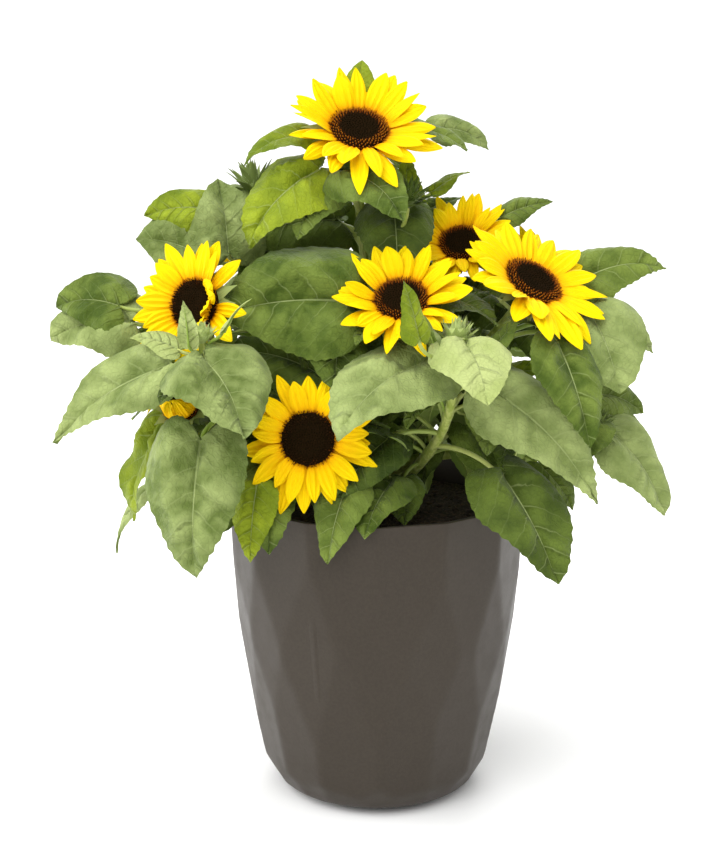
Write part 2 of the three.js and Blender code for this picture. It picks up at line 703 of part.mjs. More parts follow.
function grow() {
  const pot = facetedBody().subtract(cavity(0, POT_FLOOR, POT_HEIGHT + 1));
  const soil = cavity(CLEAR, POT_FLOOR + CLEAR, SOIL_TOP);
  const trunk = limb(trunkCurve, 0, 1, trunkRadius, TRUNK_SIDES, 10);
  const trunkRoom = limb(trunkCurve, 0, 1, (share) => trunkRadius(share) + CLEAR, TRUNK_SIDES, 10);
  const nodes = [
    { name: "pot", kind: "pot", solid: pot },
    { name: "soil", kind: "soil", solid: soil },
    { name: "main_stem", kind: "stem", solid: trunk },
  ];

  const shoots = SHOOTS.map((plan, index) => {
    const curve = shootCurve(plan);
    const gap = CLEAR / curve.getLength();
    const fromTrunk = plan.name === "crown" ? gap : BOUGH_SHARE + gap;
    const stemEnd = plan.bloom ? PEDUNCLE_SHARE - gap : 1;
    const twigs = (plan.twigs ?? []).map((twig) => twigSolid(curve, twig));
    const stem = union([limb(curve, fromTrunk, stemEnd, shootRadius, STEM_SIDES, 6), ...twigs]);
    if (plan.name !== "crown") {
      const side = largest(limb(curve, 0, BOUGH_SHARE, shootRadius, STEM_SIDES, 3).subtract(trunkRoom));
      nodes.push({ name: `side_stem_${plan.name}`, kind: "stem", solid: side });
    }
    if (plan.bud) {
      return { plan, curve, index, stem: stem.add(budSolid(curve.getPoint(1), plan.face, plan.bud)) };
    }
    const neck = limb(curve, PEDUNCLE_SHARE, 1, shootRadius, STEM_SIDES, 2);
    return { plan, curve, index, stem, head: neck.add(bloomSolid(plan, 100 + index)) };
  });

  // Leaves are set one at a time. One that would cut into anything already there is moved a little, then skipped.
  const limbs = [...nodes.map((node) => node.solid), ...shoots.flatMap(({ stem, head }) => [stem, head ?? []].flat())];
  const leaves = [];
  const settle = (shoot, plan, isFill) => {
    const node = shoot.curve.getPoint(plan.at);
    for (const { shift, tilt, swing } of nudges()) {
      const leaf = { ...plan, rise: plan.rise + tilt, turn: plan.turn + swing };
      const base = node.clone().addScaledVector(heading(leaf.stalkTurn, leaf.stalkRise), leaf.stalk);
      base.y += shift;
      const line = bladeLine(base, leaf.turn, leaf.rise, leaf.length, leaf.bend);
      const samples = [line(0), line(0.5), line(1)];
      if (isFill && (hidesBloom(samples) || samples.some((p) => Math.hypot(p.x, p.y) > CROWN_REACH))) continue;
      const roomyBlade = bladeRings(leaf, base, CLEAR);
      if (meet(loft(roomyBlade), [...limbs, ...leaves])) continue;
      const others = limbs.filter((solid) => solid !== shoot.stem);
      if (meet(loft([...stalkRings(leaf, node, base, CLEAR), roomyBlade[0]]), [...others, ...leaves])) continue;
      const whole = loft([...stalkRings(leaf, node, base, 0), ...bladeRings(leaf, base, 0)]);
      leaves.push(whole);
      shoot.leaves.push(whole);
      return;
    }
  };
  for (const shoot of shoots) {
    shoot.leaves = [];
    for (const row of shoot.plan.leaves) settle(shoot, leafFrom(row), false);
  }
  for (const shoot of shoots) {
    const random = seeded(500 + shoot.index);
    for (let i = 0; i < shoot.plan.fill; i += 1) settle(shoot, fillLeaf(i, shoot.plan, random), true);
  }
  for (const shoot of shoots) {
    nodes.push({ name: `leaves_${shoot.plan.name}`, kind: "leaf", solid: union([shoot.stem, ...shoot.leaves]) });
    if (shoot.head) nodes.push({ name: `bloom_${shoot.plan.name}`, kind: "bloom", solid: shoot.head });
  }
  return nodes;
}

const MATERIALS = {
  pot: new THREE.MeshStandardMaterial({ color: 0x4e4740, roughness: 0.6, metalness: 0 }),
  soil: new THREE.MeshStandardMaterial({ color: 0x2a1c12, roughness: 1, metalness: 0 }),
  stem: new THREE.MeshStandardMaterial({ color: 0x8fa05a, roughness: 0.6, metalness: 0 }),
  leaf: new THREE.MeshStandardMaterial({ color: 0x6b8a4b, roughness: 0.55, metalness: 0 }),
  bloom: new THREE.MeshStandardMaterial({ color: 0xffd500, roughness: 0.6, metalness: 0 }),
};

const plant = new THREE.Group();
for (const { name, kind, solid } of grow()) {
  const mesh = new THREE.Mesh(geometryFrom(solid), MATERIALS[kind]);
  mesh.name = name;
  plant.add(mesh);
}

export default plant;
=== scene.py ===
import functools
import math

import bmesh
import bpy
import numpy as np
from mathutils import Matrix, Vector
from mathutils.bvhtree import BVHTree


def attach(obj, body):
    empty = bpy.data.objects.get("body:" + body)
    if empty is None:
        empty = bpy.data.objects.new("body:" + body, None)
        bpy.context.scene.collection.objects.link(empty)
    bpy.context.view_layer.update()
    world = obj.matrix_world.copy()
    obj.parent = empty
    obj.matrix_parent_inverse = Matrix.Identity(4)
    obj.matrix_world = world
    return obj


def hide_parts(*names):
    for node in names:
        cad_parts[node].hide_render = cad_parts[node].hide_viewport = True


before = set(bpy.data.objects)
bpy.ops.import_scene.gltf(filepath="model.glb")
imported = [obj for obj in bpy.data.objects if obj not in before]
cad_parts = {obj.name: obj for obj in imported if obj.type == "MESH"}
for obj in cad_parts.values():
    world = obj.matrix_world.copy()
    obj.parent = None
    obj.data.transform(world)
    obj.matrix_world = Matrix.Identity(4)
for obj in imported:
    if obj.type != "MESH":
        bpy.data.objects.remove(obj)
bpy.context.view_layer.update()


# Studio. The plant stands on a wide white floor under a broad soft light from above and in front, in white
# air, with soft boxes at its sides and back. The camera looks down on it a little from 1.4 m in front. The
# floor is a plain painted sheet and isn't part of the plant.
CAMERA_PLACE = (-0.012, -1.4, 0.63)
CAMERA_DIP = 13
FOCAL_PIXELS = 1750
PICTURE_HEIGHT = 855
SENSOR = 36
FLOOR_SIZE = 60
FLOOR_COLOUR = (0.95, 0.95, 0.95)
FLOOR_ROUGHNESS = 0.9
AIR_COLOUR = (1.0, 1.0, 0.99)
AIR_STRENGTH = 0.47
HORIZON_STRENGTH = 1.05
HORIZON_BAND = (0.05, 0.25)
SKYLIGHT_TURN = -122
SKYLIGHT_RISE = 58
SKYLIGHT_SPREAD = 76
SKYLIGHT_STRENGTH = 3.6
EYE_LEVEL = Vector((0, 0, 0.35))
SOFT_BOXES = [
    ("left_light", (-2.2, 0.3, 0.5), 0.9, 19),
    ("right_light", (2.2, 0.5, 0.7), 0.9, 8),
    ("back_light", (0.3, 1.7, 1.7), 1.2, 20),
]

bpy.ops.object.select_all(action="DESELECT")
bpy.ops.object.camera_add(location=CAMERA_PLACE, rotation=(math.radians(90 - CAMERA_DIP), 0, 0))
camera = bpy.context.object
camera.name = "portrait_camera"
camera.data.sensor_width = SENSOR
camera.data.lens = FOCAL_PIXELS / PICTURE_HEIGHT * SENSOR
bpy.context.scene.camera = camera
bpy.context.scene.view_settings.view_transform = "Standard"

for light_name, place, size, watts in SOFT_BOXES:
    aim = (EYE_LEVEL - Vector(place)).to_track_quat("-Z", "Y").to_euler()
    bpy.ops.object.light_add(type="AREA", location=place, rotation=aim)
    soft_box = bpy.context.object
    soft_box.name = light_name
    soft_box.data.size = size
    soft_box.data.energy = watts

turn, dip = math.radians(SKYLIGHT_TURN + 90), math.radians(90 - SKYLIGHT_RISE)
bpy.ops.object.light_add(type="SUN", location=(0, 0, 2), rotation=(dip, 0, turn))
skylight = bpy.context.object
skylight.name = "skylight"
skylight.data.energy = SKYLIGHT_STRENGTH
skylight.data.angle = math.radians(SKYLIGHT_SPREAD)


def add_node(tree, kind, inputs=None, **settings):
    """A new node with its settings made, and each input set to a value or joined to another node's output."""
    made = tree.nodes.new(kind)
    for key, value in settings.items():
        setattr(made, key, value)
    for key, value in (inputs or {}).items():
        if isinstance(value, bpy.types.NodeSocket):
            tree.links.new(value, made.inputs[key])
        else:
            made.inputs[key].default_value = value
    return made


def ramp(tree, value, low, high, start=0.0, end=1.0):
    """A value carried smoothly from the range low to high into start to end."""
    made = add_node(
        tree,
        "ShaderNodeMapRange",
        {"Value": value, "From Min": low, "From Max": high, "To Min": start, "To Max": end},
        interpolation_type="SMOOTHSTEP",
    )
    return made.outputs["Result"]


air = bpy.data.worlds.new("white_air")
air.use_nodes = True
tree = air.node_tree
sky_place = add_node(tree, "ShaderNodeTexCoord").outputs["Generated"]
sky_height = add_node(tree, "ShaderNodeSeparateXYZ", {"Vector": sky_place}).outputs["Z"]
backdrop = tree.nodes["Background"].inputs
backdrop["Color"].default_value = (*AIR_COLOUR, 1)
brightness = ramp(tree, sky_height, *HORIZON_BAND, HORIZON_STRENGTH, AIR_STRENGTH)
tree.links.new(brightness, backdrop["Strength"])
bpy.context.scene.world = air


def new_finish(name, roughness, gloss=0.5, down=0.0):
    """A material with its node tree and the shader that its nodes lead to. The gloss is how much it mirrors,
    and the down is the soft sheen of fine hairs at its edges."""
    material = bpy.data.materials.new(name)
    material.use_nodes = True
    shader = material.node_tree.nodes["Principled BSDF"]
    shader.inputs["Roughness"].default_value = roughness
    shader.inputs["Specular IOR Level"].default_value = gloss
    shader.inputs["Sheen Weight"].default_value = down
    return material, material.node_tree, shader


bpy.ops.mesh.primitive_plane_add(size=FLOOR_SIZE)
floor = bpy.context.object
floor.name = "studio_floor"
floor_paint, _, floor_shader = new_finish("floor_paint", FLOOR_ROUGHNESS)
floor_shader.inputs["Base Color"].default_value = (*FLOOR_COLOUR, 1)
floor.data.materials.append(floor_paint)


# Planter. A round tapering pot of moulded plastic, taupe and matt, with tall flat facets in staggered rows
# whose edges are softly rounded. It is cut from a blank plane by plane, its edges are rubbed soft on a fine
# grid, and it is then trimmed to its height and hollowed from its rim.
MM = 0.001
POT_HEIGHT = 257
RIM_RADIUS = 120
WAIST_RADIUS = 113.8
SHOULDER_RADIUS = 94.5
SHOULDER_HEIGHT = 40
UNDERSIDE_RADIUS = 56
POT_WALL = 3.4
POT_FLOOR = 6
FACETS = 14
FACET_ROWS = [212, 138, 74]
FOOT_FACETS = 20
FOOT_ROWS = [58, 22]
FACET_WANDER = 4
FACET_DEPTH = 1.2
FACET_SEED = 11
BLANK_SPARE = 1.15
BLANK_SIDES = 64
MOULD_GRID = 2.5
MOULD_ROUNDING = 10
MOULD_SPARE = 12
RIM_SOFTNESS = 0.9
RIM_CORNER = 45
SMOOTH_CORNER = 40
INSIDE_HEIGHTS = [236, 170, 110, 60, 24, POT_FLOOR]
POT_COLOUR = (0.036, 0.029, 0.022)
POT_SHADE = (0.031, 0.025, 0.019)
POT_GLOSS = (1.0, 0.9, 0.79)


def seeded(seed):
    """A repeatable stream of numbers from 0 to 1, the same stream as the solids grew from."""
    word = 0xFFFFFFFF
    state = seed

    def draw():
        nonlocal state
        state = (state + 0x6D2B79F5) & word
        t = ((state ^ (state >> 15)) * (state | 1)) & word
        t ^= (t + (((t ^ (t >> 7)) * (t | 61)) & word)) & word
        return ((t ^ (t >> 14)) & word) / (word + 1)

    return draw


def pot_radius(z):
    """The radius of the round pot that the facets are cut from: its side, and its rounded foot."""
    if z < SHOULDER_HEIGHT:
        drop = 1 - z / SHOULDER_HEIGHT
        return UNDERSIDE_RADIUS + (SHOULDER_RADIUS - UNDERSIDE_RADIUS) * math.sqrt(1 - drop * drop)
    t = (z - SHOULDER_HEIGHT) / (POT_HEIGHT - SHOULDER_HEIGHT)
    return (
        SHOULDER_RADIUS * (1 - t) * (1 - 2 * t)
        + WAIST_RADIUS * 4 * t * (1 - t)
        + RIM_RADIUS * t * (2 * t - 1)
    )


def facet_planes():
    """The plane of each facet: its turn, its lean down, and the radius and height of a point on it."""
    draw = seeded(FACET_SEED)
    for row, z in enumerate(FACET_ROWS):
        slope = math.atan((pot_radius(z + 1) - pot_radius(z - 1)) / 2)
        for i in range(FACETS):
            turn = 360 / FACETS * (i + row % 2 / 2) + FACET_WANDER * (2 * draw() - 1)
            yield turn, slope, pot_radius(z) - FACET_DEPTH * draw(), z
    for row, angle in enumerate(FOOT_ROWS):
        a = math.radians(angle)
        width = SHOULDER_RADIUS - UNDERSIDE_RADIUS
        slope = math.atan2(width * math.cos(a), SHOULDER_HEIGHT * math.sin(a))
        for i in range(FOOT_FACETS):
            turn = 360 / FOOT_FACETS * (i + row % 2 / 2)
            yield turn, slope, UNDERSIDE_RADIUS + width * math.sin(a), SHOULDER_HEIGHT * (1 - math.cos(a))


def blend(tree, share, first, second):
    """The output of a node that mixes two colours."""
    made = add_node(tree, "ShaderNodeMix", {0: share}, data_type="RGBA")
    for socket, value in ((made.inputs["A"], first), (made.inputs["B"], second)):
        if isinstance(value, bpy.types.NodeSocket):
            tree.links.new(value, socket)
        else:
            socket.default_value = (*value, 1)
    return made.outputs["Result"]


def paint(tree, shader, colour):
    """Gives a shader a colour that other nodes work out."""
    tree.links.new(colour, shader.inputs["Base Color"])


def noise(tree, place, scale, detail=3.0):
    """A cloudy value over a place."""
    made = add_node(tree, "ShaderNodeTexNoise", {"Vector": place, "Scale": scale, "Detail": detail})
    return made.outputs["Fac"]


def emboss(tree, shader, height, depth, strength=1.0):
    """Fine relief on a finish, from a height of 0 to 1 that stands for a depth in metres."""
    made = add_node(tree, "ShaderNodeBump", {"Height": height, "Distance": depth, "Strength": strength})
    tree.links.new(made.outputs["Normal"], shader.inputs["Normal"])


def object_place(tree):
    """The place on the piece itself, in metres."""
    return add_node(tree, "ShaderNodeTexCoord").outputs["Object"]


blank_radius, blank_height = BLANK_SPARE * RIM_RADIUS, POT_HEIGHT + MOULD_SPARE
bpy.ops.object.select_all(action="DESELECT")
bpy.ops.mesh.primitive_cylinder_add(
    vertices=BLANK_SIDES,
    radius=blank_radius * MM,
    depth=blank_height * MM,
    location=(0, 0, blank_height / 2 * MM),
)
planter = bpy.context.object
planter.name = "planter"
bpy.ops.object.transform_apply(location=True)
bpy.ops.object.mode_set(mode="EDIT")
for turn, slope, radius, z in facet_planes():
    t = math.radians(turn)
    bpy.ops.mesh.select_all(action="SELECT")
    bpy.ops.mesh.bisect(
        plane_co=(radius * math.cos(t) * MM, radius * math.sin(t) * MM, z * MM),
        plane_no=(math.cos(slope) * math.cos(t), math.cos(slope) * math.sin(t), -math.sin(slope)),
        use_fill=True,
        clear_outer=True,
    )
bpy.ops.object.mode_set(mode="OBJECT")
grid = planter.modifiers.new("fine grid", "REMESH")
grid.mode = "VOXEL"
grid.voxel_size = MOULD_GRID * MM
bpy.ops.object.modifier_apply(modifier=grid.name)
rubbed = planter.modifiers.new("soft edges", "SMOOTH")
rubbed.iterations = MOULD_ROUNDING
bpy.ops.object.modifier_apply(modifier=rubbed.name)
bpy.ops.object.mode_set(mode="EDIT")
bpy.ops.mesh.select_all(action="SELECT")
bpy.ops.mesh.bisect(
    plane_co=(0, 0, POT_HEIGHT * MM), plane_no=(0, 0, 1), use_fill=True, clear_outer=True
)
bpy.ops.mesh.select_all(action="DESELECT")
bpy.ops.mesh.select_mode(type="FACE")
shell = bmesh.from_edit_mesh(planter.data)
top_face = max(shell.faces, key=lambda face: face.calc_center_median().z)
shell.faces.active = top_face
top_face.select = True
bmesh.update_edit_mesh(planter.data)
bpy.ops.mesh.inset(thickness=POT_WALL * MM, depth=0)
height = POT_HEIGHT
for lower in INSIDE_HEIGHTS:
    narrower = (pot_radius(lower) - POT_WALL - FACET_DEPTH) / (pot_radius(height) - POT_WALL - FACET_DEPTH)
    bpy.ops.mesh.extrude_region_move(TRANSFORM_OT_translate={"value": (0, 0, (lower - height) * MM)})
    bpy.ops.transform.resize(value=(narrower, narrower, 1), center_override=(0, 0, 0))
    height = lower
bpy.ops.mesh.select_all(action="SELECT")
bpy.ops.mesh.normals_make_consistent(inside=False)
bpy.ops.mesh.select_all(action="DESELECT")
shell = bmesh.from_edit_mesh(planter.data)
for edge in shell.edges:
    at_top = all(vertex.co.z > (POT_HEIGHT - 0.1) * MM for vertex in edge.verts)
    edge.select = at_top and edge.calc_face_angle(0) > math.radians(RIM_CORNER)
bmesh.update_edit_mesh(planter.data)
bpy.ops.mesh.bevel(offset=RIM_SOFTNESS * MM, segments=3, affect="EDGES")
bpy.ops.object.mode_set(mode="OBJECT")
bpy.ops.object.shade_smooth_by_angle(angle=math.radians(SMOOTH_CORNER))


def planter_finish():
    """Matt taupe plastic, faintly mottled, with fine scuffs and a moulded grain."""
    material, tree, shader = new_finish("moulded_planter_plastic", roughness=0.46, gloss=0.32)
    place = object_place(tree)
    speck = ramp(tree, noise(tree, place, scale=420), 0.3, 0.7)
    paint(tree, shader, blend(tree, speck, POT_SHADE, POT_COLOUR))
    scuff = ramp(tree, noise(tree, place, scale=60, detail=5), 0.3, 0.8, 0.42, 0.52)
    tree.links.new(scuff, shader.inputs["Roughness"])
    shader.inputs["Specular Tint"].default_value = (*POT_GLOSS, 1)
    emboss(tree, shader, noise(tree, place, scale=900, detail=2), depth=0.0002, strength=0.35)
    return material


planter.data.materials.append(planter_finish())
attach(planter, "root")
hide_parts("pot")


# Potting soil. Dark peat and bark, loose and a little heaped, filling the planter to just below its rim. The
# surface is a rounded lump pushed flat and roughened, and crumbs of bark lie on it.
SOIL_TOP = 238
SOIL_RADIUS = 114.6
SOIL_DEPTH = 60
SOIL_HEAP = 3
HEAP_FOOT = 1.2
SOIL_RIPPLE = 0.8
SOIL_EDGE = 0.97
SOIL_BRIM = 1.02
SOIL_SECTORS = 96
SOIL_LAYERS = 80
SOIL_CREASE = 35
GRAIN_SIZE = 0.006
GRAIN_HEIGHT = 0.0022
GRAIN_LEVEL = 0.62
CRUMBS = 420
CRUMB_TINTS = 4
CRUMB_SIZE = (1.6, 4.2)
CRUMB_SPREAD = 0.93
CRUMB_SEED = 77
SOIL_COLOUR = (0.022, 0.013, 0.008)
SOIL_LIGHT = (0.085, 0.05, 0.03)


def mix(low, high, share):
    """The value that is a share of the way from low to high."""
    return low + (high - low) * share


def soil_height(outward):
    """The height of the soil at a share of its radius. It is a little heaped in the middle."""
    return SOIL_TOP - SOIL_HEAP + SOIL_HEAP * np.clip(HEAP_FOOT - outward, 0, 1)


bpy.ops.object.select_all(action="DESELECT")
bpy.ops.mesh.primitive_uv_sphere_add(segments=SOIL_SECTORS, ring_count=SOIL_LAYERS, radius=1)
soil = bpy.context.object
soil.name = "potting_soil"
lump = np.empty(len(soil.data.vertices) * 3)
soil.data.vertices.foreach_get("co", lump)
lump = lump.reshape(-1, 3)
outward = np.hypot(lump[:, 0], lump[:, 1])
above = lump[:, 2] > 0
spread = np.where(outward > 0, np.minimum(1, outward * SOIL_BRIM) / np.maximum(outward, 1e-9), 0)
lump[:, 0] *= spread * SOIL_RADIUS
lump[:, 1] *= spread * SOIL_RADIUS
x, y = lump[:, 0], lump[:, 1]
ripple = np.sin(x * 0.31 + 2) * np.sin(y * 0.37) + np.sin(x * 0.83 + y * 0.6)
lump[:, 2] = np.where(
    above,
    soil_height(outward) + SOIL_RIPPLE * ripple * (outward < SOIL_EDGE),
    SOIL_TOP - SOIL_HEAP - SOIL_DEPTH * (-lump[:, 2]),
)
narrowing = np.array([pot_radius(max(z, SHOULDER_HEIGHT)) / pot_radius(SOIL_TOP) for z in lump[:, 2]])
lump[:, :2] *= narrowing[:, None]
soil.data.vertices.foreach_set("co", (lump * MM).ravel())
rough = soil.modifiers.new("loose grains", "DISPLACE")
grains = bpy.data.textures.new("soil_grains", "CLOUDS")
grains.noise_scale = GRAIN_SIZE
rough.texture = grains
rough.strength = GRAIN_HEIGHT
rough.mid_level = GRAIN_LEVEL
bpy.ops.object.modifier_apply(modifier=rough.name)
bpy.ops.object.shade_smooth_by_angle(angle=math.radians(SOIL_CREASE))


def crumb_finish(name, shade):
    """Rough bark, darker or lighter by a share, and streaked."""
    material, tree, shader = new_finish(name, roughness=0.9)
    tint = [mix(dark, light, shade) for dark, light in zip(SOIL_COLOUR, SOIL_LIGHT)]
    streak = noise(tree, object_place(tree), scale=700, detail=2)
    paint(tree, shader, blend(tree, streak, tint, [0.5 * channel for channel in tint]))
    return material


def add_crumbs(number, draw):
    """One tint of bark crumbs: jagged lumps scattered over the soil and joined into one piece."""
    bpy.ops.mesh.primitive_ico_sphere_add(subdivisions=1, radius=1)
    kernel = bpy.context.object
    points = np.array([vertex.co for vertex in kernel.data.vertices])
    corners = np.array([list(face.vertices) for face in kernel.data.polygons])
    bpy.data.objects.remove(kernel)
    all_points, all_corners = [], []
    for _ in range(CRUMBS // CRUMB_TINTS):
        size = mix(*CRUMB_SIZE, draw() ** 2)
        stretch = np.array([1, 0.55 + 0.4 * draw(), 0.3 + 0.3 * draw()]) * size
        spin = 2 * math.pi * draw()
        away = CRUMB_SPREAD * SOIL_RADIUS * math.sqrt(draw())
        bearing = 2 * math.pi * draw()
        x, y, z = (points * stretch * np.array([0.8 + 0.4 * draw() for _ in points])[:, None]).T
        across, back = math.cos(spin), math.sin(spin)
        crumb = np.stack([x * across - y * back, x * back + y * across, z], axis=1)
        crumb += [away * math.cos(bearing), away * math.sin(bearing), soil_height(away / SOIL_RADIUS)]
        all_corners.append(corners + len(points) * len(all_points))
        all_points.append(crumb)
    mesh = bpy.data.meshes.new(f"bark_crumbs_{number + 1}")
    mesh.from_pydata((np.vstack(all_points) * MM).tolist(), [], np.vstack(all_corners).tolist())
    mesh.materials.append(crumb_finish(mesh.name, number / (CRUMB_TINTS - 1)))
    crumbs = bpy.data.objects.new(mesh.name, mesh)
    bpy.context.scene.collection.objects.link(crumbs)
    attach(crumbs, "root")


def soil_finish():
    """Damp dark peat with paler flecks and a loose grain."""
    material, tree, shader = new_finish("damp_peat", roughness=0.95)
    place = object_place(tree)
    fleck = ramp(tree, noise(tree, place, scale=420, detail=4), 0.45, 0.7)
    paint(tree, shader, blend(tree, fleck, SOIL_COLOUR, SOIL_LIGHT))
    emboss(tree, shader, noise(tree, place, scale=500, detail=5), depth=0.0015, strength=0.8)
    return material


draw = seeded(CRUMB_SEED)
for number in range(CRUMB_TINTS):
    add_crumbs(number, draw)
soil.data.materials.append(soil_finish())
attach(soil, "root")
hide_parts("soil")


# Main stem and side stems. One green stem, thickest at its rooted foot, and the side stems that leave it low
# down and lean out to the shoots. They are ribbed lengthways, and knotted where leaves have been.
CLEAR = 0.3
TRUNK_LINE = [(8, -4, SOIL_TOP + CLEAR), (8, -4, 290), (-2, 1, 350), (-6, 2, 410)]
TRUNK_RADII = (8.5, 6)
ROOT_FLARE = 7
ROOT_FLARE_HEIGHT = 26
BOUGH_RADIUS = 5.6
SHOOT_RADIUS = 4.4
NECK_RADIUS = 3
BOUGH_SHARE = 0.2
CURVE_START = 0.4
STEM_RIBS = 9
RIB_HEIGHT = 0.05
KNOTS = 5
KNOT_HEIGHT = 0.13
KNOT_LENGTH = 0.012
TRUNK_RINGS = 70
TRUNK_SIDES = 36
BOUGH_RINGS = 16
STEM_SIDES = 27
STEM_SEED = 21
CREASE = 50
STEM_COLOUR = (0.28, 0.35, 0.055)
STEM_PALE = (0.50, 0.55, 0.16)
STEM_WOODY = (0.16, 0.13, 0.055)

